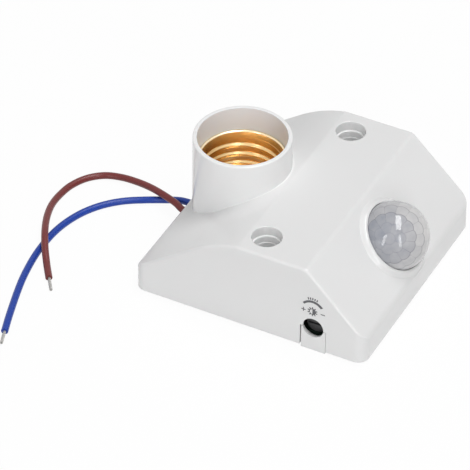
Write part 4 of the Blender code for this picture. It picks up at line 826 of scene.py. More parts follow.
housing = shell_block("housing_moulding", 0, RIDGE_RADIUS, RIM_STEP)
combine(housing, "UNION", turned("collar", collar_profile, ROUND_SIDES, (SOCKET_X, 0)))
crease = bmesh.new()
crease.from_mesh(housing.data)
foot = []
for edge in crease.edges:
    reaches = [math.hypot(vertex.co.x - SOCKET_X, vertex.co.y) for vertex in edge.verts]
    on_collar = min(reaches) > COLLAR_RADIUS - MERGE_DISTANCE
    low_enough = max(vertex.co.z for vertex in edge.verts) < BODY_HEIGHT + MERGE_DISTANCE
    if on_collar and low_enough and max(reaches) < COLLAR_FOOT_RADIUS and len(edge.link_faces) == 2:
        if edge.calc_face_angle_signed() < -CREASE_ANGLE:
            foot.append(edge)
bmesh.ops.bevel(
    crease, geom=foot, offset=COLLAR_FILLET, segments=4, profile=0.5, affect="EDGES", clamp_overlap=True
)
crease.to_mesh(housing.data)
crease.free()
ring = turned("ring", ring_profile, ROUND_SIDES)
ring.data.transform(SLOPE_FRAME)
combine(housing, "UNION", ring)

core = shell_block("core", WALL, 0, -CUT_MARGIN)
standing = [turned("collar", collar_profile, ROUND_SIDES, (SOCKET_X, 0))]
standing += [peg(POST_RADIUS, place, POST_BOTTOM, high) for place in mount_places]
standing += [peg(BOSS_RADIUS, place, POST_BOTTOM, high) for place in boss_places]
ears = joined("ears", [peg(EAR_RADIUS, place, EAR_TOP + SEAT_GAP, 0) for place in ear_places])
ears.data.transform(SLOPE_FRAME)
standing.append(ears)
combine(core, "DIFFERENCE", joined("left_standing", standing))
combine(housing, "DIFFERENCE", core)

seat_hole = COLLAR_BORE_RADIUS - SEAT_RING_WIDTH
seat_top = COLLAR_BOTTOM + SEAT_RING_THICKNESS
lip = COLLAR_LIP_RADIUS
bore = turned("bore", [
    (0, 0), (seat_hole, 0), (seat_hole, seat_top), (COLLAR_BORE_RADIUS, seat_top),
    *rounded((COLLAR_BORE_RADIUS + lip, COLLAR_TOP - lip), lip, 180, 90, 4)[:-1],
    (COLLAR_BORE_RADIUS + lip, COLLAR_TOP + CUT_MARGIN), (0, COLLAR_TOP + CUT_MARGIN),
], ROUND_SIDES, (SOCKET_X, 0))
lugs = [peg(LUG_RADIUS, place, -CUT_MARGIN, seat_top) for place in lug_places]
lug_holes = [peg(LUG_HOLE_RADIUS, place, 0, seat_top + SEAT_GAP) for place in lug_places]
combine(bore, "DIFFERENCE", joined("lugs", lugs))
combine(housing, "DIFFERENCE", bore)
combine(housing, "DIFFERENCE", joined("lug_holes", lug_holes))
cuts = [mount_bore(place) for place in mount_places]
cuts += [peg(PILOT_RADIUS, place, 0, PILOT_TOP) for place in boss_places]
combine(housing, "DIFFERENCE", joined("mount_bores", cuts))
sensor_cuts = [peg(DOME_HOLE_RADIUS, (0, 0), EAR_TOP, high, ROUND_SIDES)]
sensor_cuts += [peg(LUG_HOLE_RADIUS, place, EAR_TOP, EAR_HOLE_TOP) for place in ear_places]
sensor_cut = joined("sensor_cuts", sensor_cuts)
sensor_cut.data.transform(SLOPE_FRAME)
combine(housing, "DIFFERENCE", sensor_cut)

slot_half = LEAD_DIAMETER / 2 + LEAD_SLOT_ROOM
slot = rectangle(
    -LEAD_EXIT_SPREAD - slot_half, LEAD_EXIT_SPREAD + slot_half,
    LEAD_EXIT_HEIGHT - slot_half, LEAD_EXIT_HEIGHT + slot_half, slot_half * ARC_SHARE,
)
slot_ends = (-HALF_LENGTH - CUT_MARGIN, WALL + SEAT_GAP - HALF_LENGTH)
combine(housing, "DIFFERENCE", prism("lead_slot", slot, *slot_ends, "X"))
tongue_half = TONGUE_WIDTH / 2 + SEAT_GAP
tongue_slot = rectangle(
    ADJUSTER_X - tongue_half, ADJUSTER_X + tongue_half, -2 * CUT_MARGIN, TONGUE_TOP + SEAT_GAP,
    TONGUE_ROUNDING,
)
wall_ends = (-HALF_WIDTH - CUT_MARGIN, WALL + CUT_BEHIND - HALF_WIDTH)
combine(housing, "DIFFERENCE", prism("slot", tongue_slot, *wall_ends, "Y"))
adjuster_hole = circle(ADJUSTER_HOLE_RADIUS, HOLE_SIDES, ADJUSTER_X, ADJUSTER_Z)
combine(housing, "DIFFERENCE", prism("hole", adjuster_hole, *wall_ends, "Y"))
hollow_behind = circle(ADJUSTER_HOLE_RADIUS + ADJUSTER_RELIEF, HOLE_SIDES, ADJUSTER_X, ADJUSTER_Z)
relief_ends = (ADJUSTER_WALL + SIDE_DRAFT * ADJUSTER_Z - HALF_WIDTH, wall_ends[1])
combine(housing, "DIFFERENCE", prism("relief", hollow_behind, *relief_ends, "Y"))
finished(housing, white_plastic)
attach(housing, "body")
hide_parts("housing")

# The base plate: the white moulded floor that closes the housing, with standoffs for the board, sunk
# screw holes, and a tongue that stands up in the near wall and fills the slot under the adjuster.
BASE_THICKNESS = 2 * MM
BASE_CORNER_RADIUS = 2 * MM
STANDOFF_RADIUS = 2 * MM
STANDOFF_HEIGHT = 1.35 * MM
SMALL_SIDES = 32
TONGUE_SHIFT = 0.18 * MM
SCREW_SINK = 1.3 * MM
SCREW_SINK_RADIUS = 2.6 * MM

edge = WALL + SEAT_GAP
lean = math.tan(SIDE_DRAFT)
plate_outline = rectangle(
    edge - HALF_LENGTH, HALF_LENGTH - edge, edge - HALF_WIDTH, HALF_WIDTH - edge, BASE_CORNER_RADIUS
)
base_plate = prism("base_moulding", plate_outline, 0, BASE_THICKNESS)
for vertex in base_plate.data.vertices:
    vertex.co.y -= math.copysign(lean * vertex.co.z, vertex.co.y)
tongue_left = ADJUSTER_X + TONGUE_SHIFT - TONGUE_WIDTH / 2
tongue_right = tongue_left + TONGUE_WIDTH
tongue_outline = rectangle(tongue_left, tongue_right, 0, TONGUE_TOP, TONGUE_ROUNDING)
tongue = prism("tongue", tongue_outline, -HALF_WIDTH, edge - HALF_WIDTH, "Y")
for vertex in tongue.data.vertices:
    if vertex.co.y < WALL - HALF_WIDTH:
        vertex.co.y += lean * vertex.co.z
combine(tongue, "DIFFERENCE", prism("hole", adjuster_hole, -HALF_WIDTH - WALL, 0, "Y"))
combine(tongue, "DIFFERENCE", prism("relief", hollow_behind, relief_ends[0], 0, "Y"))
foot_outline = rectangle(tongue_left, tongue_right, 0, BASE_THICKNESS, TONGUE_ROUNDING)
foot_ends = (WALL / 2 - HALF_WIDTH, 2 * WALL - HALF_WIDTH)
combine(base_plate, "UNION", prism("foot", foot_outline, *foot_ends, "Y"))
combine(base_plate, "UNION", tongue)
board_low, board_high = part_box("circuit_board")
inset = 2 * STANDOFF_RADIUS
standoffs = [
    peg(STANDOFF_RADIUS, (x, y), BASE_THICKNESS / 2, BASE_THICKNESS + STANDOFF_HEIGHT, SMALL_SIDES)
    for x in (board_low.x + inset, board_high.x - inset)
    for y in (board_low.y + inset, board_high.y - inset)
]
combine(base_plate, "UNION", joined("standoffs", standoffs))
holes = [peg(MOUNT_HOLE_RADIUS, place, -CUT_MARGIN, 2 * WALL) for place in mount_places]
for place in boss_places:
    holes.append(turned("hole", [
        (0, -CUT_MARGIN), (SCREW_SINK_RADIUS, -CUT_MARGIN), (SCREW_SINK_RADIUS, SCREW_SINK),
        (PILOT_RADIUS, SCREW_SINK), (PILOT_RADIUS, 2 * WALL), (0, 2 * WALL),
    ], HOLE_SIDES, place))
combine(base_plate, "DIFFERENCE", joined("plate_holes", holes))
finished(base_plate, moulding_white("base_plastic"))
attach(base_plate, "body")
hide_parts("base_plate")

# The base screws: four zinc-plated pan-head screws with a cross recess, driven from below through
# the base plate into the housing's bosses. One screw is made, and a tree sets it at each boss.
SCREW_RADIUS = 1.25 * MM
SCREW_LENGTH = 7.5 * MM
HEAD_RADIUS = 2.3 * MM
HEAD_HEIGHT = 0.85 * MM
HEAD_SINK = 0.15 * MM
CROWN_SHARE = 0.7
TIP_SHARE = 0.3
RECESS_HALF = 0.3 * MM
RECESS_REACH = 0.6
RECESS_FLOOR = 0.35
ZINC = (0.66, 0.67, 0.68)

crown = HEAD_RADIUS * CROWN_SHARE
profile = [(0, -HEAD_HEIGHT), (crown, -HEAD_HEIGHT)]
for turn in range(1, 7):
    angle = turn * 15 * DEGREE
    across = crown + (HEAD_RADIUS - crown) * math.sin(angle)
    profile.append((across, -HEAD_HEIGHT * (1 + math.cos(angle)) / 2))
profile += [
    (HEAD_RADIUS, 0), (SCREW_RADIUS, 0), (SCREW_RADIUS, SCREW_LENGTH - SCREW_RADIUS),
    (SCREW_RADIUS * TIP_SHARE, SCREW_LENGTH), (0, SCREW_LENGTH),
]
screw = turned("screw", profile, SMALL_SIDES)
reach, half = HEAD_RADIUS * RECESS_REACH, RECESS_HALF
cross = [
    (-half, -reach), (half, -reach), (half, -half), (reach, -half), (reach, half), (half, half),
    (half, reach), (-half, reach), (-half, half), (-reach, half), (-reach, -half), (-half, -half),
]
recess = prism("recess", cross, -2 * HEAD_HEIGHT, -HEAD_HEIGHT * RECESS_FLOOR)
combine(screw, "DIFFERENCE", recess)
steel = surface("zinc_plating", ZINC, 0.28, metallic=1.0, patch=1.5 * MM, tint=0.06, relief=0.004 * MM)
finished(screw, steel)
screw_sizes = {
    "Spacing X": 2 * boss_places[-1][0], "Spacing Y": 2 * boss_places[-1][1],
    "Height": HEAD_SINK + HEAD_HEIGHT, "Material": steel,
}
tree, given = new_tree("screws_at_bosses", screw_sizes)
corners = result("GeometryNodeMeshGrid", {
    "Size X": given["Spacing X"], "Size Y": given["Spacing Y"], "Vertices X": 2, "Vertices Y": 2,
})
raised = result("ShaderNodeCombineXYZ", {"Z": given["Height"]})
lifted = result("GeometryNodeSetPosition", {"Geometry": corners, "Offset": raised})
spread = result("GeometryNodeInstanceOnPoints", {"Points": lifted, "Instance": given["Piece"]})
end_tree(tree, spread, given["Material"])
base_screws = grown("base_screws", tree, screw_sizes, screw.data)
bpy.data.objects.remove(screw)
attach(base_screws, "body")
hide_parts("base_screw_1", "base_screw_2", "base_screw_3", "base_screw_4")

# The screw shell: thin brass with a rolled thread for a 27 mm lamp cap, flared at its mouth and
# turned in at its floor. A tree lays one closed sheet of metal along the thread's rule.
SHELL_TOP = 32.7 * MM
SHELL_BOTTOM = 11.3 * MM
SHELL_ROOT = 13.4 * MM
THREAD_DEPTH = 0.8 * MM
THREAD_PITCH = 3.63 * MM
THREAD_SHIFT = 1.1 * MM
CREST_SHARPNESS = 3.6
SHELL_METAL = 0.4 * MM
PLAIN_END = 2.4 * MM
FADE = 0.9 * MM
FLARE_HEIGHT = 2.8 * MM
FLARE = 0.42 * MM
LIP_HEIGHT = 0.36 * MM
LIP_ROLL = 0.3 * MM
FADE_BLEND = 0.2
SHELL_SIDES = 128
SHELL_SAMPLES = 150
SAMPLE_CROWDING = 1.25
WELD_DISTANCE = 0.002 * MM
LIP_SHARPNESS = 50 * DEGREE
FLOOR_BEND = 1.1 * MM
FLOOR_HOLE = 6.3 * MM
BRASS = (0.88, 0.62, 0.31)
# Painted highlight: the brass turns paler over the top few millimetres, towards the shell's mouth.
LIP_PAINTED_HIGHLIGHT = (1.0, 0.84, 0.56)
PAINTED_HIGHLIGHT_DEPTH = 4.2 * MM

brass = surface("brass", BRASS, 0.24, metallic=1.0, tint=0.04, grain=3 * MM, relief=0.0003 * MM)
tree = brass.node_tree
base_colour = tree.nodes["Principled BSDF"].inputs["Base Color"]
place = add_node(tree, "ShaderNodeTexCoord").outputs["Object"]
height = add_node(tree, "ShaderNodeSeparateXYZ", {"Vector": place}).outputs["Z"]
# Painted highlight: the brass is blended to a paler tone towards the shell's top.
painted_highlight_share = result("ShaderNodeMapRange", {
    "Value": height, "From Min": SHELL_TOP - PAINTED_HIGHLIGHT_DEPTH, "From Max": SHELL_TOP,
})
painted_highlight_tone = blend(tree, painted_highlight_share, base_colour.links[0].from_socket, (*LIP_PAINTED_HIGHLIGHT, 1))
tree.links.new(painted_highlight_tone, base_colour)
shell_sizes = {
    "Sides": SHELL_SIDES + 1, "Samples": SHELL_SAMPLES, "Top": SHELL_TOP,
    "Bottom": SHELL_BOTTOM + SHELL_METAL, "Root Radius": SHELL_ROOT, "Metal": SHELL_METAL,
    "Depth": THREAD_DEPTH, "Pitch": THREAD_PITCH, "Shift": THREAD_SHIFT, "Sharpness": CREST_SHARPNESS,
    "Plain End": PLAIN_END, "Fade": FADE, "Flare": FLARE, "Flare Height": FLARE_HEIGHT,
    "Lip Roll": LIP_ROLL, "Lip Height": LIP_HEIGHT, "Crowding": SAMPLE_CROWDING,
    "Bend": FLOOR_BEND, "Hole Radius": FLOOR_HOLE, "Axis X": SOCKET_X, "Material": brass,
}


def face_outward(mesh):
    """Turns the faces of a closed mesh outward."""
    shape = bmesh.new()
    shape.from_mesh(mesh)
    bmesh.ops.recalc_face_normals(shape, faces=shape.faces)
    shape.to_mesh(mesh)
    shape.free()


tree, given = new_tree("rolled_shell", shell_sizes)
samples, bend, root = given["Samples"], given["Bend"], given["Root Radius"]
span = samples * 2.0
sheet = result("GeometryNodeMeshGrid", {
    "Size X": 1.0, "Size Y": 1.0, "Vertices X": given["Sides"], "Vertices Y": span + 1.0,
})
position = result("GeometryNodeInputPosition")
at = results(add_node(tree, "ShaderNodeSeparateXYZ", {"Vector": position}))
angle = (at["X"] + 0.5) * (360 * DEGREE)
row = reckon("MODULO", reckon("ROUND", (at["Y"] + 0.5) * span), span)
outside = reckon("GREATER_THAN", row, samples - 0.5)
line_row = reckon("MINIMUM", row, span - 1.0 - row)
wall_run = given["Top"] - given["Bottom"] - bend
bend_run = bend * (90 * DEGREE)
whole_run = wall_run + bend_run + (root - bend - given["Hole Radius"])
run = (line_row / (samples - 1.0)) ** given["Crowding"] * whole_run
down = reckon("MINIMUM", run, wall_run)
bent = reckon("DIVIDE", run - wall_run, bend_run, clamp=True) * (90 * DEGREE)
inward = reckon("MAXIMUM", run - wall_run - bend_run, 0.0)
height = given["Top"] - down - bend * reckon("SINE", bent)
fade_in = reckon("DIVIDE", down - given["Plain End"], given["Fade"], clamp=True)
thread_end = wall_run + bend - given["Plain End"]
fade_out = reckon("DIVIDE", thread_end - down, given["Fade"], clamp=True)
fade = reckon("SMOOTH_MIN", fade_in, fade_out, FADE_BLEND)
turn = (height + given["Shift"]) / given["Pitch"] * (360 * DEGREE)
wave = reckon("COSINE", turn - angle)
crest = ((1.0 - wave) * 0.5) ** given["Sharpness"]
radius = root - crest * given["Depth"] * fade
for rise, depth in ((given["Flare"], given["Flare Height"]), (given["Lip Roll"], given["Lip Height"])):
    radius += reckon("SUBTRACT", 1.0, down / depth, clamp=True) ** 2.0 * rise
radius = radius - bend * (1.0 - reckon("COSINE", bent)) - inward
thick = given["Metal"] * outside
radius += thick * reckon("COSINE", bent)
height -= thick * reckon("SINE", bent)
placed = result("ShaderNodeCombineXYZ", {
    "X": given["Axis X"] + radius * reckon("COSINE", angle),
    "Y": radius * reckon("SINE", angle), "Z": height,
})
rolled = result("GeometryNodeSetPosition", {"Geometry": sheet, "Position": placed})
welded = result("GeometryNodeMergeByDistance", {"Geometry": rolled, "Distance": WELD_DISTANCE})
end_tree(tree, welded, given["Material"])
screw_shell = grown("rolled_thread_shell", tree, shell_sizes)
face_outward(screw_shell.data)
screw_shell.data.shade_smooth()
screw_shell.data.set_sharp_from_angle(angle=LIP_SHARPNESS)
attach(screw_shell, "body")
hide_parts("screw_shell")

# The centre contact and the rivets: a springy bronze strip folded up over its rivet, and two brass
# rivets that hold the shell's floor down on the insulating disc.
CONTACT_WIDTH = 5 * MM
CONTACT_METAL = 0.4 * MM
CONTACT_BOTTOM = 12.6 * MM
CONTACT_REACH = 3.8 * MM
CONTACT_RISE = 3.6 * MM
CONTACT_LINE = [
    (1, 0), (0.4, 0), (-0.2, 0), (-0.75, 0), (-1.05, 0.12), (-1.2, 0.33), (-1.1, 0.55), (-0.8, 0.72),
    (-0.4, 0.87), (0, 1), (0.4, 1.02), (0.75, 0.9),
]
RIVET_HEAD_RADIUS = 1.9 * MM
RIVET_HEAD_HEIGHT = 0.6 * MM
RIVET_BULGE = (0.4, 0.8, 1.2)  # in radians
RIVET_SHANK_RADIUS = 1 * MM
BRONZE = (0.72, 0.45, 0.26)

bronze = surface("spring_bronze", BRONZE, 0.3, metallic=1.0, patch=3 * MM, tint=0.1, relief=0.004 * MM)
knots = [Vector((SOCKET_X + x * CONTACT_REACH, 0, z * CONTACT_RISE)) for x, z in CONTACT_LINE]
strip = smooth_line(knots, 6)
upper = []
lower = []
for index, point in enumerate(strip):
    along = (strip[min(index + 1, len(strip) - 1)] - strip[max(index - 1, 0)]).normalized()
    middle = Vector((point.x, CONTACT_BOTTOM + CONTACT_METAL / 2 + point.z))
    across = Vector((-along.z, along.x)) * CONTACT_METAL / 2
    upper.append(tuple(middle + across))
    lower.append(tuple(middle - across))
contact = prism("contact_strip", upper + lower[::-1], -CONTACT_WIDTH / 2, CONTACT_WIDTH / 2, "Y")
rivet_x = SOCKET_X + CONTACT_REACH / 2
hole_levels = (CONTACT_BOTTOM - CONTACT_METAL, CONTACT_BOTTOM + 2 * CONTACT_METAL)
shank_hole = peg(RIVET_SHANK_RADIUS + SEAT_GAP, (rivet_x, 0), *hole_levels, SMALL_SIDES)
combine(contact, "DIFFERENCE", shank_hole)
finished(contact, bronze)
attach(contact, "body")
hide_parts("centre_contact")
for node, metal, slot in (
    ("contact_rivet", bronze, "spring_bronze"), ("shell_rivet_1", brass, "brass"),
    ("shell_rivet_2", brass, "brass"),
):
    low, high_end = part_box(node)
    under = low.z + RIVET_HEAD_HEIGHT
    over = high_end.z - RIVET_HEAD_HEIGHT
    bulge = [(RIVET_HEAD_RADIUS * math.cos(a), RIVET_HEAD_HEIGHT * math.sin(a)) for a in RIVET_BULGE]
    profile = [(0, low.z), *[(r, under - h) for r, h in bulge[::-1]], (RIVET_HEAD_RADIUS, under)]
    profile += [(RIVET_SHANK_RADIUS, under), (RIVET_SHANK_RADIUS, over), (RIVET_HEAD_RADIUS, over)]
    profile += [*[(r, over + h) for r, h in bulge], (0, high_end.z)]
    middle = (low + high_end) / 2
    rivet = finished(turned(f"{node}_headed", profile, SMALL_SIDES, (middle.x, middle.y)), metal)
    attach(rivet, "body")
    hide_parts(node)

# The sensor dome: a thin moulded lens in milky plastic, smooth and glossy outside. Its inside is cut
# into rings of flat facets about an axis that leans to the adjuster's side. They show through the
# plastic as milky cells with fine lines between them. The tones are guessed from the photo.
DOME_WALL = 0.7 * MM
DOME_RISE = 1.1 * MM
FLANGE_RADIUS = 12.4 * MM
FLANGE_BOTTOM = -3.1 * MM
FLANGE_TOP = -2.3 * MM
DOME_STEPS = 100
DOME_SIDES = 256
FACET_AXIS = Vector((0.20, -0.79, 0.58))
FACET_RINGS = [
    (0, 1, 0, 9.5, 0.34, 0.3), (17, 7, 0.2, 10, 0.30, 0.4),
    (33, 13, 0.5, 12.8, 0.34, 1.0), (51.5, 15, 0.15, 13.4, 0.56, 1.0),
    (70, 17, 0.6, 12.8, 0.62, 0.45), (88, 18, 0.1, 12.8, 0.60, 0.5),
    (106, 17, 0.6, 12.8, 0.58, 0.5), (124, 15, 0.1, 13.0, 0.60, 0.5),
]
SKIRT_SHADE = 0.82
# Painted light and shade: facets turned mostly towards +X are painted paler, and those turned the other way
# darker.
PAINTED_LIGHT_WAY = Vector((0.92, 0.30, 0.25))
PAINTED_SHADE_CHANGE = 0.26
SHADE_SCATTER = 0.07
EDGE_LINE = 1.25 * DEGREE
EDGE_DARKNESS = 0.75
SIDE_LINE = 1.3
LENS_SHADES = [(0.38, 0.41, 0.48), (0.64, 0.64, 0.67), (0.92, 0.91, 0.90)]
EDGE_SHADE = (0.28, 0.28, 0.31)
LENS_CLEARNESS = 0.35
LENS_ROUGHNESS = 0.05
LENS_IOR = 1.5
LENS_TONES = ("edge_distance", "facet_shade", "edge_strength")
CLOUD_SIZE = 2.5 * MM
CLOUD_CHANGE = 0.4
FACET_SHARPNESS = 9 * DEGREE

facets = []
turn_of_slope = SLOPE_FRAME.to_3x3()
facet_axis = FACET_AXIS.normalized()
turn_of_facets = facet_axis.to_track_quat("Z", "Y")
chance = random.Random(4)
for fall, count, shift, half, ring_shade, line in FACET_RINGS:
    ring_of_facets = []
    for number in range(count):
        outward = Vector((0, 0, 1))
        outward.rotate(Matrix.Rotation(fall * DEGREE, 3, "Y"))
        outward.rotate(Matrix.Rotation((number + shift) / count * 360 * DEGREE, 3, "Z"))
        outward.rotate(turn_of_facets)
        # Painted light and shade: the facet's shade rises on the side turned towards +X and falls on the
        # other.
        shade = ring_shade + PAINTED_SHADE_CHANGE * outward.dot(PAINTED_LIGHT_WAY.normalized())
        ring_of_facets.append((outward, shade + chance.uniform(-SHADE_SCATTER, SHADE_SCATTER)))
    facets.append((fall * DEGREE, half * DEGREE, line, ring_of_facets))


def facet_at(way):
    """The facet a direction lies in: its normal, shade, distance to its edge and its line's strength."""
    fall = way.angle(facet_axis)
    past_inner, inner_line = 90 * DEGREE, 0.0
    for ring_fall, half, line, ring_of_facets in facets:
        turns = sorted((way.angle(outward), index) for index, (outward, shade) in enumerate(ring_of_facets))
        nearest, index = turns[0]
        beside = (turns[1][0] - nearest) * SIDE_LINE if len(turns) > 1 else half
        outward, shade = ring_of_facets[index]
        if nearest < half or fall < ring_fall:
            to_rim = half - nearest if nearest < half else 90 * DEGREE
            return outward, shade, *min((to_rim, line), (beside, line), (past_inner, inner_line))
        past_inner, inner_line = nearest - half, line
    return way, SKIRT_SHADE, past_inner, inner_line


shape = bmesh.new()
layers = [shape.verts.layers.float.new(name) for name in LENS_TONES]
inner = DOME_RADIUS - DOME_WALL
middle = Vector((0, 0, DOME_RISE))
flat_reach = inner * math.cos(FACET_RINGS[2][3] * DEGREE)
profile = [(inner, FLANGE_BOTTOM, 0), (FLANGE_RADIUS, FLANGE_BOTTOM, 0), (FLANGE_RADIUS, FLANGE_TOP, 0)]
profile.append((DOME_RADIUS, FLANGE_TOP, 0))
for step in range(DOME_STEPS + 1):
    profile.append((DOME_RADIUS, step * 90 / DOME_STEPS, 1))
for step in range(DOME_STEPS, -1, -1):
    profile.append((inner, step * 90 / DOME_STEPS, 2))
rings = []
for reach, level, kind in profile:
    ring = []
    for side in range(1 if kind and level == 90 else DOME_SIDES):
        heading = side / DOME_SIDES * 360 * DEGREE
        if kind == 0:
            point = Vector((reach * math.cos(heading), reach * math.sin(heading), level))
            shade, distance, line = SKIRT_SHADE, 10 * DEGREE, 0.0
        else:
            flat = math.cos(level * DEGREE) if level < 90 else 0.0
            way = Vector((flat * math.cos(heading), flat * math.sin(heading), math.sin(level * DEGREE)))
            turned_way = turn_of_slope @ way
            normal, shade, distance, line = facet_at(turned_way)
            if kind == 2:
                reach = min(inner, flat_reach / max(0.5, turned_way.dot(normal)))
            point = middle + way * reach
        vertex = shape.verts.new(point)
        for layer, value in zip(layers, (distance, shade, line)):
            vertex[layer] = value
        ring.append(vertex)
    rings.append(ring)
lens = skin("faceted_lens", shape, rings, DOME_SIDES)
lens.data.transform(SLOPE_FRAME)

lens_plastic = bpy.data.materials.new("lens_plastic")
lens_plastic.use_nodes = True
tree = lens_plastic.node_tree
shader = tree.nodes["Principled BSDF"]
distance, shade, strength = (
    results(add_node(tree, "ShaderNodeAttribute", attribute_name=name))["Fac"] for name in LENS_TONES
)
place = add_node(tree, "ShaderNodeTexCoord").outputs["Object"]
cloud = add_node(tree, "ShaderNodeTexNoise", {
    "Vector": place, "Scale": 1 / CLOUD_SIZE, "Detail": 2.0,
}).outputs["Fac"]
drift = reckon("MULTIPLY_ADD", cloud, CLOUD_CHANGE, shade) - CLOUD_CHANGE / 2
ramp = add_node(tree, "ShaderNodeValToRGB", {"Fac": drift})
ramp.color_ramp.elements[0].color = (*LENS_SHADES[0], 1)
ramp.color_ramp.elements[1].color = (*LENS_SHADES[2], 1)
ramp.color_ramp.elements.new(0.5).color = (*LENS_SHADES[1], 1)
line = result("ShaderNodeMapRange", {
    "Value": distance, "From Min": 0.0, "From Max": EDGE_LINE, "To Min": EDGE_DARKNESS, "To Max": 0.0,
})
dark = line * strength
lined = blend(tree, dark, ramp.outputs["Color"], (*EDGE_SHADE, 1))
tree.links.new(lined, shader.inputs["Base Color"])
shader.inputs["Roughness"].default_value = LENS_ROUGHNESS
shader.inputs["Transmission Weight"].default_value = LENS_CLEARNESS
shader.inputs["IOR"].default_value = LENS_IOR
lens_plastic.diffuse_color = (*LENS_SHADES[1], 1)
lens.data.shade_smooth()
lens.data.set_sharp_from_angle(angle=FACET_SHARPNESS)
lens.data.materials.append(lens_plastic)
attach(lens, "body")
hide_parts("lens")

# The light-level adjuster's rotor: a dark plastic disc with a screwdriver slot, behind the hole in
# the near wall. It turns with its own body.
ROTOR_RADIUS = 3.3 * MM
ROTOR_THICKNESS = 1.3 * MM
ROTOR_FACE = -37.147 * MM
ROTOR_ROUNDING = 0.25 * MM
SPIGOT_RADIUS = 1 * MM
SPIGOT_LENGTH = 1.6 * MM
SLOT_WIDTH = 0.8 * MM
SLOT_DEPTH = 0.7 * MM
SLOT_SHARE = 0.82
SLOT_ROUNDING = 0.1 * MM
DARK = (0.035, 0.035, 0.037)

dark_plastic = surface("dark_plastic", DARK, 0.42, patch=2 * MM, tint=0.1, relief=0.01 * MM)
corner = (ROTOR_RADIUS - ROTOR_ROUNDING, ROTOR_THICKNESS - ROTOR_ROUNDING)
rotor = turned("trimmer_slotted_rotor", [
    (0, -SPIGOT_LENGTH), (SPIGOT_RADIUS, -SPIGOT_LENGTH), (SPIGOT_RADIUS, 0), (ROTOR_RADIUS, 0),
    *rounded(corner, ROTOR_ROUNDING, 0, 90), (0, ROTOR_THICKNESS),
], HOLE_SIDES)
reach = ROTOR_RADIUS * SLOT_SHARE
slot = rectangle(-reach, reach, -SLOT_WIDTH / 2, SLOT_WIDTH / 2, SLOT_ROUNDING)
slot_levels = (ROTOR_THICKNESS - SLOT_DEPTH, 2 * ROTOR_THICKNESS)
combine(rotor, "DIFFERENCE", prism("slot", slot, *slot_levels))
rotor_place = Matrix.Translation((ADJUSTER_X, ROTOR_FACE + ROTOR_THICKNESS, ADJUSTER_Z))
rotor.data.transform(rotor_place @ Matrix.Rotation(90 * DEGREE, 4, "X"))
finished(rotor, dark_plastic)
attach(rotor, "adjuster")
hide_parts("trimmer_rotor")

# The marks over the adjuster hole: thin grey print on the near wall, with a crescent scale, graduation
# ticks over it, a plus and a half-dark sun at one end and a minus at the other.
PRINT_RELIEF = 0.02 * MM
PRINT_SINK = 0.08 * MM
PRINT_GREY = (0.11, 0.11, 0.12)
SCALE_PLACE = (22.69 * MM, 15.4 * MM)
SCALE_RADIUS = 4.05 * MM
SCALE_ENDS = (142, 38)
SCALE_WIDTHS = (0.75 * MM, 1.0 * MM)
SCALE_STEPS = 40
TICK_RING = (4.75 * MM, 5.65 * MM)
TICK_COUNT = 5
TICK_SPAN = 34 * DEGREE
TICK_WIDTH = 0.4 * MM
PLUS_PLACE = (19.54 * MM, 15.45 * MM)
MINUS_PLACE = (26.32 * MM, 15.52 * MM)
SIGN_REACH = 0.75 * MM
SIGN_HALF = 0.17 * MM
SIGN_ROUNDING = 0.03 * MM
SUN_PLACE = (22.69 * MM, 15.51 * MM)
SUN_RADIUS = 1.2 * MM
SUN_LINE = 0.25 * MM
RAY_COUNT = 10
RAY_START = 18 * DEGREE
RAY_RING = (1.1 * MM, 1.75 * MM)
RAY_WIDTH = 0.4 * MM

print_ink = surface("grey_print", PRINT_GREY, 0.5, patch=1 * MM, tint=0.08, relief=0.002 * MM)
mark_sizes = {
    "Count": TICK_COUNT, "Inner": TICK_RING[0], "Outer": TICK_RING[1], "Width": TICK_WIDTH,
    "Thickness": PRINT_RELIEF + PRINT_SINK, "Start": 90 * DEGREE - TICK_SPAN / 2,
    "Step": TICK_SPAN / (TICK_COUNT - 1), "Centre": Vector((*SCALE_PLACE, 0)), "Material": print_ink,
}
tree, given = new_tree("radial_marks", mark_sizes)
bar_length = given["Outer"] - given["Inner"]
bar_size = result("ShaderNodeCombineXYZ", {
    "X": bar_length, "Y": given["Width"], "Z": given["Thickness"],
})
bar = result("GeometryNodeMeshCube", {"Size": bar_size})
outward = result("ShaderNodeCombineXYZ", {"X": given["Inner"] + bar_length * 0.5})
shifted = result("GeometryNodeTransform", {"Geometry": bar, "Translation": outward})
spots = result("GeometryNodePoints", {"Count": given["Count"], "Position": given["Centre"]})
heading = given["Start"] + result("GeometryNodeInputIndex") * given["Step"]
turned_by = result("ShaderNodeCombineXYZ", {"Z": heading})
fan = result("GeometryNodeInstanceOnPoints", {
    "Points": spots, "Instance": shifted, "Rotation": turned_by,
})
end_tree(tree, fan, given["Material"])
ticks = grown("ticks", tree, mark_sizes)
ray_sizes = {
    **mark_sizes, "Count": RAY_COUNT, "Inner": RAY_RING[0], "Outer": RAY_RING[1], "Width": RAY_WIDTH,
    "Start": RAY_START, "Step": 360 * DEGREE / RAY_COUNT, "Centre": Vector((*SUN_PLACE, 0)),
}
rays = grown("rays", tree, ray_sizes)
half_thick = (PRINT_RELIEF + PRINT_SINK) / 2
outer_edge = []
inner_edge = []
for step in range(SCALE_STEPS + 1):
    share = step / SCALE_STEPS
    angle = (SCALE_ENDS[0] + (SCALE_ENDS[1] - SCALE_ENDS[0]) * share) * DEGREE
    half_width = (SCALE_WIDTHS[0] + (SCALE_WIDTHS[1] - SCALE_WIDTHS[0]) * share) / 2
    for line, reach in ((outer_edge, SCALE_RADIUS + half_width), (inner_edge, SCALE_RADIUS - half_width)):
        x = SCALE_PLACE[0] + reach * math.cos(angle)
        line.append((x, SCALE_PLACE[1] + reach * math.sin(angle)))
flat_marks = [ticks, rays, prism("crescent", outer_edge + inner_edge[::-1], -half_thick, half_thick)]
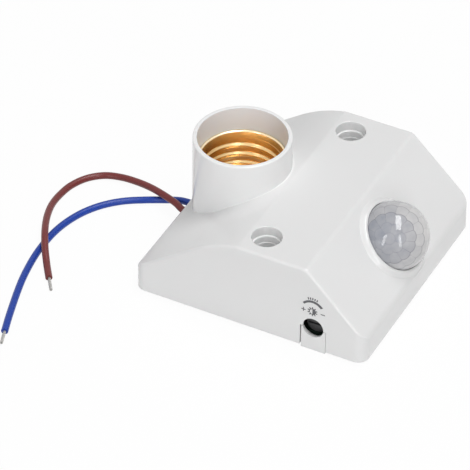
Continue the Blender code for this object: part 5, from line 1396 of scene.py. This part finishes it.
for x, z, bars in ((*PLUS_PLACE, 2), (*MINUS_PLACE, 1)):
    across = rectangle(x - SIGN_REACH, x + SIGN_REACH, z - SIGN_HALF, z + SIGN_HALF, SIGN_ROUNDING)
    sign = prism("sign", across, -half_thick, half_thick)
    if bars == 2:
        upright = rectangle(x - SIGN_HALF, x + SIGN_HALF, z - SIGN_REACH, z + SIGN_REACH, SIGN_ROUNDING)
        combine(sign, "UNION", prism("upright", upright, -1.01 * half_thick, 1.01 * half_thick))
    flat_marks.append(sign)
sun = prism("sun", circle(SUN_RADIUS, 48, *SUN_PLACE), -half_thick, half_thick)
open_half = rounded(SUN_PLACE, SUN_RADIUS - SUN_LINE, 90, 270, 24)
combine(sun, "DIFFERENCE", prism("open_half", open_half, -2 * half_thick, 2 * half_thick))
flat_marks.append(sun)
marks = joined("printed_marks", flat_marks)
for vertex in marks.data.vertices:
    x, z, out = vertex.co
    wall = -(HALF_WIDTH - lean * z)
    vertex.co = (x, wall - PRINT_RELIEF + half_thick - out, z)
face_outward(marks.data)
dress(marks.data, print_ink)
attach(marks, "body")

# The hidden pieces: boards, components, pins, screws, the insulating disc, the dome's ring and the
# wires inside. Each keeps its plain form and takes the finish of what it is made of.
HIDDEN = {
    "socket_insulator": ((0.78, 0.75, 0.70), 0.6, 0.0, ["socket_insert"]),
    "retainer_plastic": ((0.78, 0.78, 0.78), 0.35, 0.0, ["lens_retainer"]),
    "solder_mask": ((0.010, 0.022, 0.015), 0.35, 0.0, ["sensor_board", "circuit_board"]),
    "relay_case": ((0.05, 0.15, 0.45), 0.35, 0.0, ["relay"]),
    "film_case": ((0.70, 0.52, 0.13), 0.32, 0.0, ["film_capacitor"]),
    "resistor_coating": ((0.36, 0.38, 0.38), 0.6, 0.0, ["fuse_resistor"]),
    "black_moulding": ((0.03, 0.03, 0.03), 0.45, 0.0, [
        "smoothing_capacitor", "controller_chip", "rectifier_diode_1", "rectifier_diode_2",
        "rectifier_diode_3", "rectifier_diode_4", "light_cell", "pir_window", "trimmer_body",
    ]),
    "bright_steel": ((0.68, 0.68, 0.69), 0.28, 1.0, [
        "insert_screw_1", "insert_screw_2", "sensor_screw_1", "sensor_screw_2", "pir_sensor",
    ]),
    "tinned_pins": ((0.62, 0.60, 0.57), 0.34, 0.85, ["link_pin_1", "link_pin_2", "link_pin_3"]),
    "red_insulation": ((0.45, 0.03, 0.025), 0.38, 0.0, ["contact_wire"]),
    "white_insulation": ((0.75, 0.75, 0.75), 0.38, 0.0, ["shell_wire"]),
    "inner_brown": (BROWN, 0.38, 0.0, ["live_lead_inner"]),
    "inner_blue": (BLUE, 0.38, 0.0, ["neutral_lead_inner"]),
}
for name, (colour, roughness, metallic, nodes) in HIDDEN.items():
    finish = surface(name, colour, roughness, metallic=metallic, patch=3 * MM, tint=0.06, relief=0.006 * MM)
    for node in nodes:
        dress(frame["nodes"][node].data, finish)

low, high_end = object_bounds()
